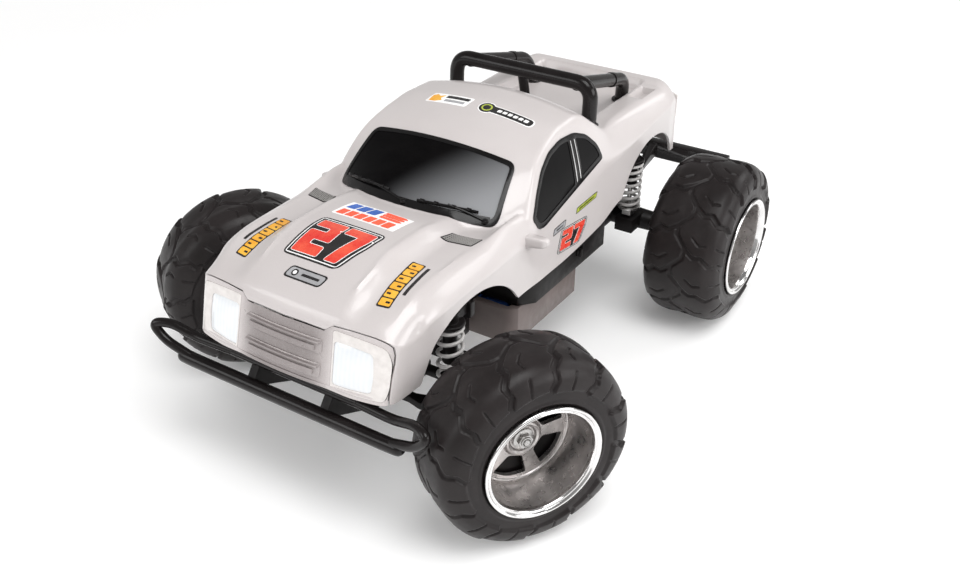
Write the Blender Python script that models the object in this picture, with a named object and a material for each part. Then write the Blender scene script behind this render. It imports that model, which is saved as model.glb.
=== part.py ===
"""Radio-controlled off-road pickup truck, modelled piece by piece.

Lengths in this file are millimetres; objects are made in metres.
The truck stands on the ground plane z = 0 and faces -Y; its left side is +X.
The origin is on the ground, midway between the axles.
"""
import math

import bmesh
import bpy
from mathutils import Matrix, Vector

MM = 0.001
GAP = 0.3

# Driving dimensions
WHEELBASE = 253.7
AXLE_HEIGHT = 60.0
FRONT_Y = -WHEELBASE / 2
REAR_Y = WHEELBASE / 2
TYRE_RADIUS = 60.0
REAR_TRACK_HALF = 118.5
KINGPIN_X = 84.0
KINGPIN_OFFSET = 42.0
STEER_AT_REST = math.radians(30.5)
BUMPER_END_Y = 209.6

# Wheels, measured along the axle from the tyre's middle, outward positive
RIM_BARREL = 33.2
RIM_BORE = 2.6
RIM_FACE = 4.5
RIM_BACK = 1.0
SPOKE_WINDOWS = 5
WHEEL_SIDES = 22

# Front suspension: two equal, parallel arms on each side
ARM_IN_X = 28.0
ARM_OUT_X = 74.0
LOWER_ARM_Z = 48.0
UPPER_ARM_Z = 76.0
FRONT_SHOCK = (70.0, -141.0)

# Steering: pins at this radius behind each kingpin, and before the servo's shaft
STEER_RADIUS = 16.0
SERVO_Y = -96.0

# Rear suspension: a live axle on two trailing arms
SWING_Y = 45.0
SWING_Z = 62.0
REAR_SHOCK = (60.0, 112.0)

# Final drive
GEAR_MODULE = 1.2
GEAR_TEETH = 30
PINION_TEETH = 10
GEAR_X = 8.0
MESH_SLACK = 0.5

# Coil springs and their dampers
SPRING_RADIUS = 7.2
SPRING_WIRE = 1.0
SPRING_TURNS = 5
DAMPER_RADIUS = 4.6
ROD_RADIUS = 1.6
ROD_ENGAGEMENT = 9.5

# Body shell
SHELL_THICKNESS = 1.8
NOSE_Y = -198.0
TAIL_Y = 166.0
ARCH_RADIUS = 63.0
REAR_ARCH_RADIUS = 50.0
REAR_ARCH_CENTRE = (122.0, 80.0)

COLOURS = {
    "pearl": ((0.75, 0.71, 0.70), 0.25, 0.0),
    "silver": ((0.42, 0.39, 0.38), 0.35, 0.3),
    "black": ((0.015, 0.014, 0.014), 0.35, 0.0),
    "grey": ((0.16, 0.14, 0.13), 0.45, 0.0),
    "glass": ((0.01, 0.01, 0.012), 0.08, 0.0),
    "lamp": ((0.95, 0.96, 1.0), 0.1, 0.0),
    "rubber": ((0.03, 0.027, 0.027), 0.65, 0.0),
    "chrome": ((0.75, 0.74, 0.73), 0.2, 1.0),
    "steel": ((0.5, 0.5, 0.5), 0.3, 1.0),
    "board": ((0.03, 0.2, 0.08), 0.4, 0.0),
    "pack": ((0.05, 0.12, 0.4), 0.4, 0.0),
    "brass": ((0.7, 0.5, 0.2), 0.3, 1.0),
}


# ---------------------------------------------------------------- helpers

def clear_scene():
    for old in list(bpy.data.objects):
        bpy.data.objects.remove(old, do_unlink=True)


def material(name):
    found = bpy.data.materials.get(name)
    if found:
        return found
    colour, roughness, metallic = COLOURS[name]
    made = bpy.data.materials.new(name)
    made.use_nodes = True
    shader = made.node_tree.nodes["Principled BSDF"]
    shader.inputs["Base Color"].default_value = (*colour, 1.0)
    shader.inputs["Roughness"].default_value = roughness
    shader.inputs["Metallic"].default_value = metallic
    return made


def make_object(name, shape, finish, centre=(0, 0, 0), turn=0.0):
    """Object from a (points, faces) shape drawn about the centre, then turned about Z."""
    points, faces = shape
    bm = bmesh.new()
    verts = [bm.verts.new(Vector(p) * MM) for p in points]
    for face in faces:
        bm.faces.new([verts[i] for i in face])
    bmesh.ops.recalc_face_normals(bm, faces=bm.faces)
    mesh = bpy.data.meshes.new(name)
    bm.to_mesh(mesh)
    bm.free()
    mesh.shade_smooth()
    mesh.set_sharp_from_angle(angle=math.radians(35))
    mesh.materials.append(material(finish))
    made = bpy.data.objects.new(name, mesh)
    made.location = Vector(centre) * MM
    made.rotation_euler = (0, 0, turn)
    bpy.context.collection.objects.link(made)
    return made


def apply_tool(body, shape, operation, centre=(0, 0, 0), turn=0.0):
    """Boolean modifier that joins a shape to the body, cuts it away or keeps what they share."""
    index = len(body.modifiers)
    helper = make_object(f"{body.name}_tool_{index}", shape, "black", centre, turn)
    helper.hide_render = True
    helper.display_type = "WIRE"
    step = body.modifiers.new(f"step_{index}", "BOOLEAN")
    step.operation = operation
    step.object = helper


def solid(name, finish, add, cut=(), centre=(0, 0, 0), turn=None):
    """One closed body: the union of the shapes in add, less those in cut.

    The object's origin goes to the centre, which is on the joint's axis of a moving
    piece. Shapes are in world millimetres, or, where a turn is given, in the
    object's own frame about the centre before that turn."""
    if turn is None:
        add = [shifted(shape, centre) for shape in add]
        cut = [shifted(shape, centre) for shape in cut]
        turn = 0.0
    body = make_object(name, add[0], finish, centre, turn)
    for shape in add[1:]:
        apply_tool(body, shape, "UNION", centre, turn)
    for shape in cut:
        apply_tool(body, shape, "DIFFERENCE", centre, turn)


def shifted(shape, centre):
    offset = Vector(centre)
    return [Vector(p) - offset for p in shape[0]], shape[1]


def mirrored(shape):
    return [Vector((-p[0], p[1], p[2])) for p in shape[0]], shape[1]


def on_side(shape, side):
    """The shape as drawn for the left, or its mirror image for the right."""
    return shape if side > 0 else mirrored(shape)


def loft(loops, closed=False):
    """Skin over loops of equal length, with a cap at each end unless closed."""
    count = len(loops[0])
    points = [p for loop in loops for p in loop]
    faces = []
    spans = len(loops) if closed else len(loops) - 1
    for i in range(spans):
        a = i * count
        b = ((i + 1) % len(loops)) * count
        for j in range(count):
            k = (j + 1) % count
            faces.append((a + j, a + k, b + k, b + j))
    if not closed:
        faces.append(tuple(range(count)))
        faces.append(tuple(range((len(loops) - 1) * count, len(loops) * count)))
    return points, faces


def box(x, y, z):
    low = [(x[0], y[0], z[0]), (x[1], y[0], z[0]), (x[1], y[1], z[0]), (x[0], y[1], z[0])]
    return loft([low, [(px, py, z[1]) for px, py, _ in low]])


def prism(outline, axis, low, high):
    """Outline extruded along an axis: (y, z) along X, (x, z) along Y, (x, y) along Z."""
    order = {"X": (2, 0, 1), "Y": (0, 2, 1), "Z": (0, 1, 2)}[axis]
    loops = []
    for height in (low, high):
        corners = [(a, b, height) for a, b in outline]
        loops.append([tuple(corner[i] for i in order) for corner in corners])
    return loft(loops)


def frame_along(direction):
    forward = Vector(direction).normalized()
    side = forward.cross(Vector((0, 0, 1)))
    if side.length < 0.01:
        side = Vector((1, 0, 0))
    side.normalize()
    return forward, side, side.cross(forward)


def ring(centre, side, up, radius, sides):
    steps = [math.tau * (i + 0.5) / sides for i in range(sides)]
    return [Vector(centre) + (side * math.cos(a) + up * math.sin(a)) * radius for a in steps]


def rod(start, end, radius, sides=8, end_radius=None):
    _, side, up = frame_along(Vector(end) - Vector(start))
    last = radius if end_radius is None else end_radius
    return loft([ring(start, side, up, radius, sides), ring(end, side, up, last, sides)])


def bent_tube(path, radius, sides=8):
    """Round bar through the path's points, with its ends closed."""
    points = [Vector(p) for p in path]
    loops = []
    _, side, up = frame_along(points[1] - points[0])
    for i, point in enumerate(points):
        before = points[max(i - 1, 0)]
        after = points[min(i + 1, len(points) - 1)]
        forward = (after - before).normalized()
        side = (side - forward * side.dot(forward)).normalized()
        up = side.cross(forward)
        loops.append(ring(point, side, up, radius, sides))
    return loft(loops)


def round_corner(before, corner, after, radius, steps=3):
    """Points of a curve that cuts the corner, from one straight to the next."""
    corner = Vector(corner)
    start = corner + (Vector(before) - corner).normalized() * radius
    end = corner + (Vector(after) - corner).normalized() * radius
    found = []
    for i in range(steps + 1):
        t = i / steps
        found.append(start * (1 - t) ** 2 + corner * 2 * t * (1 - t) + end * t ** 2)
    return found


def rounded_path(corners, radius):
    path = [Vector(corners[0])]
    for before, corner, after in zip(corners, corners[1:], corners[2:]):
        path += round_corner(before, corner, after, radius)
    path.append(Vector(corners[-1]))
    return path


def turned(profile, sides=WHEEL_SIDES):
    """Ring with the closed (along, radius) profile, turned about the X axis."""
    steps = [math.tau * i / sides for i in range(sides)]
    loops = [[(a, r * math.cos(s), r * math.sin(s)) for a, r in profile] for s in steps]
    return loft(loops, closed=True)


def smooth_step(value, low, high):
    t = min(max((value - low) / (high - low), 0.0), 1.0)
    return t * t * (3 - 2 * t)


def curve_at(table, value):
    """Height on a line through the table's (position, height) points."""
    if value <= table[0][0]:
        return table[0][1]
    for (a, low), (b, high) in zip(table, table[1:]):
        if value <= b:
            return low + (high - low) * (value - a) / (b - a)
    return table[-1][1]


def soft_min(a, b, reach):
    h = max(reach - abs(a - b), 0.0) / reach
    return min(a, b) - h * h * reach / 4


def soft_max(a, b, reach):
    return -soft_min(-a, -b, reach)


# ---------------------------------------------------------------- body form

HOOD_MIDDLE = [(-198, 124), (-195, 129.5), (-188, 134), (-178, 138.5), (-167, 142.5), (-155, 146.5),
               (-143, 148.5), (-120, 148.5), (-96, 146), (-70, 143)]
HOOD_SIDE = [(-198, 124.5), (-194, 127.5), (-182, 132), (-172, 135.5), (-160, 138.5), (-140, 140),
             (-100, 140), (-80, 138), (-60, 138)]
ROOF_MIDDLE = [(-46, 170.5), (-36, 176), (-20, 181), (0, 184), (18, 184), (28, 182), (40, 174.5),
               (52, 167), (66, 158), (78, 149), (90, 140)]
HALF_WIDTH = [(-198, 71.5), (-186, 73), (-170, 75), (-150, 76), (-100, 76), (-60, 74.5), (-30, 73),
              (20, 71.5), (80, 70.5), (150, 70), (171, 67)]
EDGE_HEIGHT = [(-198, 116), (-186, 120), (-170, 125), (-150, 127), (-110, 128), (-75, 129), (40, 134),
               (80, 136), (160, 134), (171, 130)]
SIDE_RISE = [(-198, 11), (-150, 15), (-110, 16), (-80, 22), (-62, 36), (-45, 44), (35, 41), (60, 26),
             (80, 22), (171, 22)]
LOWER_EDGE = [(-198, 91), (-184, 90), (-74, 97), (-20, 96), (25, 99), (71, 102), (150, 103), (171, 104)]
BED_FLOOR = 148.0
BED_RAIL = 155.5
TAIL_TOP = 157.0
ROLL_BAR_Y = 51.0
ROLL_BAR_CLEARANCE = 1.2
FLANGE_THICKNESS = 3.0


def hood_height(x, y):
    middle = curve_at(HOOD_MIDDLE, y) - 0.8 * (x / 34) ** 2
    side = curve_at(HOOD_SIDE, y)
    ridge = 6.0 * math.exp(-((x - 67) / 5) ** 2) * smooth_step(y, -105, -78)
    return middle + (side - middle) * smooth_step(x, 33, 50) + ridge


def windscreen_foot(x):
    return -96 + 21 * (x / 60) ** 2


def windscreen_head(x):
    return -45 + 2 * (x / 53) ** 2


def cabin_height(x, y):
    foot = windscreen_foot(x)
    head = windscreen_head(x)
    crown = 6.5 * (x / 55) ** 2
    if y >= head:
        return curve_at(ROOF_MIDDLE, y) - crown
    low = 146 - 9.3 * (x / 60) ** 2
    high = curve_at(ROOF_MIDDLE, head) - crown
    t = (y - foot) / (head - foot)
    return low + (high - low) * t + 5 * t * (1 - t)


def bed_height(x, y):
    floor = BED_FLOOR + (BED_RAIL - BED_FLOOR) * smooth_step(x, 39, 46)
    return floor + (TAIL_TOP - floor) * smooth_step(y, 154, 159)


def top_height(x, y):
    """Height of the body's outer face over the point (x, y)."""
    x = abs(x)
    if y < 30:
        top = soft_max(hood_height(x, y), cabin_height(x, y), 1.5)
    else:
        top = soft_max(bed_height(x, y), cabin_height(x, y), 5.0)
    inset = max(curve_at(HALF_WIDTH, y) - x, 0.0)
    rim = curve_at(EDGE_HEIGHT, y) + curve_at(SIDE_RISE, y) * (inset / 13) ** 0.75
    return soft_min(top, rim, 4.0)


def lower_edge(y):
    """Height of the body's lower edge, raised over the wheels."""
    edge = curve_at(LOWER_EDGE, y)
    front = ARCH_RADIUS ** 2 - (y - FRONT_Y) ** 2
    rear = REAR_ARCH_RADIUS ** 2 - (y - REAR_ARCH_CENTRE[0]) ** 2
    if front > 0:
        edge = max(edge, AXLE_HEIGHT - 0.5 + math.sqrt(front))
    if rear > 0:
        edge = max(edge, REAR_ARCH_CENTRE[1] + math.sqrt(rear))
    return edge


def nose_sweep(x, y):
    """How far back a point of the nose lies because the nose is round in plan."""
    x = abs(x)
    sweep = 10 * (x / 64) ** 2 + 3 * max((x - 64) / 10, 0) ** 2
    return sweep * (1 - smooth_step(y, NOSE_Y, -160))


def tail_sweep(x, y):
    half = curve_at(HALF_WIDTH, y)
    return -8 * (abs(x) / half) ** 6 * smooth_step(y, 140, TAIL_Y)


TOP_SHARES = (0, 0.22, 0.44, 0.54, 0.65, 0.76, 0.84, 0.91, 0.96, 1.0)
WALL_SHARES = (0.5, 0.0)
BODY_ROWS = (-198, -194, -184, -172, -160, -148, -136, -124, -112, -102, -95, -88, -81, -75, -67, -57, -47,
             -40, -28, -8, 12, 26, 38, 50, 60, 70, 78, 88, 100, 111, 122, 134, 145, 154, 160, 166)
# Rows of the tail's wall: how far behind the tail's top, and the share of height left
TAIL_ROWS = ((2.0, 0.93), (3.8, 0.55), (5.0, 0.1))


def body_row(y, back=0.0, share=1.0):
    """Points across the body at one station, from its right edge to its left."""
    half = curve_at(HALF_WIDTH, y)
    low = lower_edge(y)
    edge = top_height(half, y)
    side = []
    for part in TOP_SHARES:
        x = half * part
        side.append((x, y, top_height(x, y)))
    for part in WALL_SHARES:
        lean = -8 * (1 - part) * (1 - smooth_step(y, NOSE_Y, -172))
        side.append((half, y + lean, low + (edge - low) * part))
    side = [(x, y2 + nose_sweep(x, y) + tail_sweep(x, y) + back, low + (z - low) * share)
            for x, y2, z in side]
    return [(-x, y2, z) for x, y2, z in reversed(side[1:])] + side


def body_skin():
    rows = [body_row(y) for y in BODY_ROWS]
    rows += [body_row(TAIL_Y, back, share) for back, share in TAIL_ROWS]
    count = len(rows[0])
    points = [p for row in rows for p in row]
    faces = []
    for i in range(len(rows) - 1):
        for j in range(count - 1):
            a = i * count + j
            faces.append((a, a + 1, a + count + 1, a + count))
    return points, faces


def body_panel(name, finish):
    """The body's skin, thickened inwards to the shell's thickness."""
    panel = make_object(name, body_skin(), finish)
    if panel.data.polygons[len(panel.data.polygons) // 2].normal.z < 0:
        panel.data.flip_normals()
    wall = panel.modifiers.new("wall", "SOLIDIFY")
    wall.thickness = SHELL_THICKNESS * MM
    wall.offset = -1
    wall.use_even_offset = False
    return panel


def windscreen_prism(inset):
    half = 58.5 - inset
    shares = [-1, -0.8, -0.5, 0, 0.5, 0.8, 1]
    foot = [(half * s, windscreen_foot(half * s) + 1 + inset) for s in shares]
    head_half = 52.5 - inset
    head = [(head_half * s, windscreen_head(head_half * s) - 1 - inset) for s in reversed(shares)]
    return prism(foot + head, "Z", 100, 210)


SIDE_WINDOW = [(-55, 139), (-50, 131.5), (-43, 130), (0, 137), (40, 144), (37, 153), (26, 163), (12, 168.5),
               (-6, 170), (-22, 167.5), (-35, 161), (-46, 151)]


def side_window_prism(side, inset):
    centre_y = sum(p[0] for p in SIDE_WINDOW) / len(SIDE_WINDOW)
    centre_z = sum(p[1] for p in SIDE_WINDOW) / len(SIDE_WINDOW)
    outline = []
    for y, z in SIDE_WINDOW:
        away = Vector((y - centre_y, z - centre_z))
        away *= 1 - inset * 1.6 / away.length
        outline.append((centre_y + away.x, centre_z + away.y))
    return on_side(prism(outline, "X", 45, 95), side)


def mirror_shape(side):
    """Door mirror: a wedge that grows out of the body's side."""
    root = [(70, -74, 124), (70, -60, 122), (70, -58, 134), (70, -72, 136)]
    tip = [(88.5, -67, 125.5), (90, -58, 124.5), (90, -57, 133), (88.5, -65, 134)]
    return on_side(loft([root, tip]), side)


def body_shell():
    shell = body_panel("body_shell", "pearl")
    for opening in (windscreen_prism(0.0), side_window_prism(1, 0.0), side_window_prism(-1, 0.0)):
        apply_tool(shell, opening, "DIFFERENCE")
    for side in (1, -1):
        apply_tool(shell, mirror_shape(side), "UNION")


def windows():
    glass = body_panel("windscreen", "glass")
    apply_tool(glass, windscreen_prism(GAP), "INTERSECT")
    for side, word in ((1, "left"), (-1, "right")):
        glass = body_panel(f"side_window_{word}", "glass")
        apply_tool(glass, side_window_prism(side, GAP), "INTERSECT")


# ---------------------------------------------------------------- nose

FASCIA_LOW = 89.0
FASCIA_DEPTH = 2.6


def fascia_point(x, height, depth):
    """Point of the nose panel; height runs from 0 at its foot to 1 at its top."""
    top = top_height(min(abs(x), 71), NOSE_Y) - 2.9
    sweep = nose_sweep(x, NOSE_Y)
    y_top = NOSE_Y + sweep + 0.8
    y_low = -205.5 + 0.8 * sweep
    z = FASCIA_LOW + (top - FASCIA_LOW) * height
    return (x, y_low + (y_top - y_low) * height + depth, z)


def fascia_patch(x_low, x_high, low, high, front, back, steps):
    loops = []
    for i in range(steps + 1):
        x = x_low + (x_high - x_low) * i / steps
        corners = [(low, front), (high, front), (high, back), (low, back)]
        loops.append([fascia_point(x, h, d) for h, d in corners])
    return loft(loops)


def nose_panel():
    add = [fascia_patch(-69, 69, 0, 1, 0, FASCIA_DEPTH, 16)]
    for low in (0.3, 0.62):
        add.append(fascia_patch(-26, 26, low, low + 0.1, -1.6, 1.0, 6))
    cut = [fascia_patch(34 * s, 64 * s, 0.1, 0.88, -4, 8, 4) for s in (1, -1)]
    solid("front_fascia", "silver", add, cut)
    for side, word in ((1, "left"), (-1, "right")):
        lens = fascia_patch(34.4 * side, 63.6 * side, 0.112, 0.868, -0.8, 5.0, 4)
        solid(f"headlight_{word}", "lamp", [lens])


# ---------------------------------------------------------------- chassis

FRAME_HALF = 66.0
FRAME_LOW = 68.3
FRAME_HIGH = 92.0
WALL = 2.6
BOX_HALF = 60.0
BOX_Y = (-54.0, 31.0)
BOX_Z = (42.0, 68.0)
BOOM_Z = (94.3, 98.3)
DOOR_THICKNESS = 2.2
SWITCH_Y = 18.0
SWITCH_TRAVEL = 4.5


def chassis_frame():
    tray = prism([(-FRAME_HALF + 8, -46), (FRAME_HALF - 8, -46), (FRAME_HALF, -36), (FRAME_HALF, 60),
                  (-FRAME_HALF, 60), (-FRAME_HALF, -36)], "Z", FRAME_LOW, FRAME_HIGH)
    inner = FRAME_HALF - WALL
    hollow = prism([(-inner + 8, -43.4), (inner - 8, -43.4), (inner, -34.5), (inner, 57.4),
                    (-inner, 57.4), (-inner, -34.5)], "Z", FRAME_LOW + WALL, FRAME_HIGH + 9)
    add = [tray,
           box((-30, 30), (-66, -44), (FRAME_LOW, 72)),
           box((-30, 30), (-66, -60), (46, 70)),
           box((-24, 24), (-150, -62), (46, 52)),
           box((-20, 20), (57.6, 60), (90, BOOM_Z[1])),
           box((-20, 20), (57.8, 173), BOOM_Z)]
    switch_slot = box((FRAME_HALF - 4, FRAME_HALF + 2), (SWITCH_Y - GAP, SWITCH_Y + 5 + SWITCH_TRAVEL + GAP),
                      (77.6, 82.4))
    cut = [hollow, switch_slot]
    for side in (1, -1):
        add.append(on_side(box((30, 35.4), (37, 59), (55, 72)), side))
        add.append(rod((33 * side, SWING_Y, SWING_Z), (45.5 * side, SWING_Y, SWING_Z), 2.0))
    solid("chassis_frame", "black", add, cut)


def battery_box():
    y_low, y_high = BOX_Y
    outer = prism([(-BOX_HALF, y_low + 6), (-BOX_HALF + 8, y_low), (BOX_HALF - 8, y_low),
                   (BOX_HALF, y_low + 6), (BOX_HALF, y_high), (-BOX_HALF, y_high)], "Z", *BOX_Z)
    hollow = box((-53, 53), (y_low + 5, y_high - 5), (BOX_Z[0] - 2, BOX_Z[1] + 2))
    solid("battery_box", "grey", [outer], [hollow])
    pack = box((-50, 50), (y_low + 8, y_high - 8), (45.2, 66))
    cells = [box((x - 0.8, x + 0.8), (y_low, y_high), (64.4, 67)) for x in (-30, -10, 10, 30)]
    solid("battery_pack", "pack", [pack], cells)
    door = box((-52.6, 52.6), (y_low + 5.5, y_high - 5.5), (BOX_Z[0], BOX_Z[0] + DOOR_THICKNESS))
    grips = [box((x - 1, x + 1), (y_high - 16, y_high - 8), (BOX_Z[0] - 1, BOX_Z[0] + 0.8))
             for x in (-6, 0, 6)]
    solid("battery_door", "grey", [door], grips, centre=(0, y_low + 5.5, BOX_Z[0]))


def electronics():
    board = [box((-32, 32), (-22, 38), (71.3, 72.9)), box((-20, -6), (-12, 2), (72.5, 76)),
             box((4, 22), (-10, 8), (72.5, 78)), box((-24, -14), (16, 30), (72.5, 83)),
             rod((10, 24, 72.5), (10, 24, 84), 4, 10)]
    solid("circuit_board", "board", board)
    switch = [box((63, 67), (SWITCH_Y, SWITCH_Y + 5), (78, 82)),
              box((66.6, 69), (SWITCH_Y + 1, SWITCH_Y + 4), (77.4, 82.6))]
    solid("power_switch", "grey", switch, centre=(66, SWITCH_Y + 2.5, 80))
    servo = [box((-10, 10), (-104, -74), (52.3, 63.2)), box((-14, 14), (-92, -86), (52.3, 58))]
    solid("steering_servo", "black", servo, [rod((0, SERVO_Y, 60), (0, SERVO_Y, 65), 2.6)])


def front_bulkhead():
    block = box((-22, 22), (-146, -118.2), (52.3, 84))
    wings = prism([(-21, 83), (21, 83), (26, 95), (64, 104), (76, 110), (76, 119), (-76, 119), (-76, 110),
                   (-64, 104), (-26, 95)], "Y", -129.5, -125)
    add = [block, wings]
    for side in (1, -1):
        for low, high in ((-148.2, -145.5), (-108.5, -106)):
            foot = prism([(20, 52.4), (20, 60), (25, 60), (31.5, 50), (31.5, 44.5), (24.6, 44.5),
                          (24.6, 52.4)], "Y", low, high)
            add.append(on_side(foot, side))
        add.append(rod((ARM_IN_X * side, -147, LOWER_ARM_Z), (ARM_IN_X * side, -107, LOWER_ARM_Z), 1.5, 8))
        for low, high in ((-131.2, -128.5), (-119.5, -117)):
            add.append(on_side(box((21, 31), (low, high), (73, 79)), side))
        add.append(rod((ARM_IN_X * side, -130, UPPER_ARM_Z), (ARM_IN_X * side, -118, UPPER_ARM_Z), 1.3, 8))
        add.append(rod((12 * side, -134, 80), (12 * side, -134, 143), 3, 8))
    add.append(box((-25, 25), (-119, -106), (52.5, 58)))
    solid("front_bulkhead", "black", add)


def rear_tower():
    wings = prism([(-20, 98.6), (20, 98.6), (30, 108), (66, 112), (66, 124), (-66, 124), (-66, 112),
                   (-30, 108)], "Y", 98, 102.5)
    posts = [rod((18 * s, 100.2, 120), (18 * s, 100.2, 143.5), 2.2, 8) for s in (1, -1)]
    solid("rear_shock_tower", "black", [wings, *posts])


def front_bumper():
    """Two cross bars that meet in a raised loop at each end, and their two stays."""
    low = [(-76, -204, 68), (76, -204, 68)]
    ends = [(92, -206, 76), (101, -206.8, 86), (90, -202, 87), (72, -198, 80.5)]
    right = [(-x, y, z) for x, y, z in reversed(ends)]
    corners = [(-40, -196, 80), *right, *low, *ends, (40, -196, 80)]
    loop = bent_tube(rounded_path(corners, 6), 3.2, 6)
    back = rod((-48, -196, 80), (48, -196, 80), 3.0, 6)
    add = [loop, back]
    for side in (1, -1):
        stay = prism([(-205, 68), (-196, 80), (-172, 76), (-149, 58), (-149, 46), (-158, 46)], "X", 26, 30)
        add.append(on_side(stay, side))
    add.append(box((-29, 29), (-157, -150.4), (46.5, 57)))
    solid("front_bumper", "black", add)


def rear_bumper():
    bar = box((-100, 100), (BUMPER_END_Y - 9, BUMPER_END_Y), (77, 90.5))
    plate = box((-42, 42), (160, 176), (74, 78))
    riser = box((-14, 14), (163, 172), (76, BOOM_Z[0] - GAP))
    stays = []
    for side in (1, -1):
        stay = prism([(168, 74), (176, 74), (203, 79), (203, 89), (198, 89)], "X", 35, 41)
        stays.append(on_side(stay, side))
    solid("rear_bumper", "black", [bar, plate, riser, *stays])


def seated(shape, sides, ends):
    """Rod or tube whose end rings are cut to lie just above the body's surface."""
    points, faces = shape
    points = [Vector(p) for p in points]
    for end in ends:
        ring_points = points[:sides] if end == 0 else points[-sides:]
        for p in ring_points:
            p.z = top_height(p.x, p.y) + ROLL_BAR_CLEARANCE
    return points, faces


def roll_bar():
    """Hoop behind the cab, two braces that run back to the bed, and a centre post."""
    hoop_y = ROLL_BAR_Y
    foot_z = top_height(53, hoop_y)
    hoop = rounded_path([(-53, hoop_y - 1, foot_z), (-53, hoop_y, 187.2), (53, hoop_y, 187.2),
                         (53, hoop_y - 1, foot_z)], 9)
    add = [seated(bent_tube(hoop, 4.7, 8), 8, (0, 1))]
    for side in (1, -1):
        brace = rounded_path([(38, hoop_y, 186), (36, 124, 166), (35, 129, BED_FLOOR)], 7)
        brace = [(x * side, y, z) for x, y, z in brace]
        add.append(seated(bent_tube(brace, 4.2, 8), 8, (1,)))
    add.append(seated(rod((0, hoop_y, 186), (0, hoop_y + 6, 170), 3.4, 8), 8, (1,)))
    flange, faces = seated(rod((0, hoop_y + 6, 172), (0, hoop_y + 6, 168), 7, 10), 10, (0, 1))
    for p in flange[:10]:
        p.z += FLANGE_THICKNESS
    add.append((flange, faces))
    solid("roll_bar", "black", add)


def tail_lamps():
    for side, word in ((1, "left"), (-1, "right")):
        lamp = loft([[(56, 172.4, z) for z in (128, 147)] + [(56, 174, z) for z in (147, 128)],
                     [(66, 170.6, z) for z in (128, 145)] + [(66, 172, z) for z in (145, 128)]])
        solid(f"tail_lamp_{word}", "lamp", [on_side(lamp, side)])


# ---------------------------------------------------------------- wheels

TYRE_TREAD = [(-27.5, 51), (-22, 57), (-14, 59.6), (0, TYRE_RADIUS), (14, 59.6), (22, 57), (28, 51),
              (29, 43)]
TYRE_BEADS = [(28.6, 36.5), (26, 34), (-26, 34), (-27.5, 37)]


def tyre_shape():
    """Tyre ring; its flats, not its corners, lie at the tyre's radius."""
    grow = 1 / math.cos(math.pi / WHEEL_SIDES)
    return turned([(a, r * grow) for a, r in TYRE_TREAD] + TYRE_BEADS)


def rim_shape():
    barrel = RIM_BARREL
    profile = [(RIM_FACE, RIM_BORE), (RIM_FACE, 27), (RIM_FACE + 1.5, 29.5), (RIM_FACE, 31.4), (27, 31.8),
               (30.5, 33.6), (30.5, 35.9), (29.4, 35.9), (28.2, barrel), (-28.4, barrel), (-28.4, 31.4),
               (RIM_BACK, 31.2), (RIM_BACK, RIM_BORE)]
    return turned(profile)


def spoke_window(index):
    middle = math.tau * (index + 0.5) / SPOKE_WINDOWS
    corners = [(12.5, -0.3), (25.5, -0.42), (27.3, 0), (25.5, 0.42), (12.5, 0.3)]
    outline = [(r * math.cos(middle + a), r * math.sin(middle + a)) for r, a in corners]
    return prism(outline, "X", RIM_BACK - 2, RIM_FACE + 3)


def hub_nut_shape():
    return rod((RIM_FACE + 1.4, 0, 0), (RIM_FACE + 5.5, 0, 0), 4.6, 6)


def wheel(word, centre, turn):
    make_object(f"{word}_tyre", tyre_shape(), "rubber", centre, turn)
    windows_cut = [spoke_window(i) for i in range(SPOKE_WINDOWS)]
    solid(f"{word}_rim", "chrome", [rim_shape()], windows_cut, centre, turn)
    bore = rod((RIM_FACE, 0, 0), (RIM_FACE + 4, 0, 0), 2.7, 8)
    solid(f"{word}_hub_nut", "steel", [hub_nut_shape()], [bore], centre, turn)


def front_wheel_centre(side):
    reach = KINGPIN_OFFSET * side
    return (KINGPIN_X * side + reach * math.cos(STEER_AT_REST),
            FRONT_Y - reach * math.sin(STEER_AT_REST), AXLE_HEIGHT)


def wheels():
    for side, word in ((1, "left"), (-1, "right")):
        facing = 0.0 if side > 0 else math.pi
        wheel(f"front_{word}", front_wheel_centre(side), facing - STEER_AT_REST)
        wheel(f"rear_{word}", (REAR_TRACK_HALF * side, REAR_Y, AXLE_HEIGHT), facing)


# ---------------------------------------------------------------- front suspension

def lower_arm(side):
    plate = prism([(27, -144), (42, -144), (50, -146), (75, -146), (78, -138), (78, -133.6),
                   (69.5, -133.6), (69.5, -120.1), (78, -120.1), (78, -117.7), (66, -116.5),
                   (45, -109.5), (27, -109.5)], "Z", 45.6, 50.4)
    barrel = rod((ARM_IN_X, -145, LOWER_ARM_Z), (ARM_IN_X, -109, LOWER_ARM_Z), 3.6, 10)
    hole = rod((ARM_IN_X, -150, LOWER_ARM_Z), (ARM_IN_X, -104, LOWER_ARM_Z), 1.9, 8)
    pocket = prism([(34, -139), (44, -139), (56, -135), (56, -119), (44, -115), (34, -115)], "Z", 44, 52)
    pin = rod((ARM_OUT_X, -140, LOWER_ARM_Z), (ARM_OUT_X, -112, LOWER_ARM_Z), 1.5, 8)
    shapes = [on_side(s, side) for s in (plate, barrel, hole, pocket, pin)]
    return shapes[:2], shapes[2:]


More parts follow.
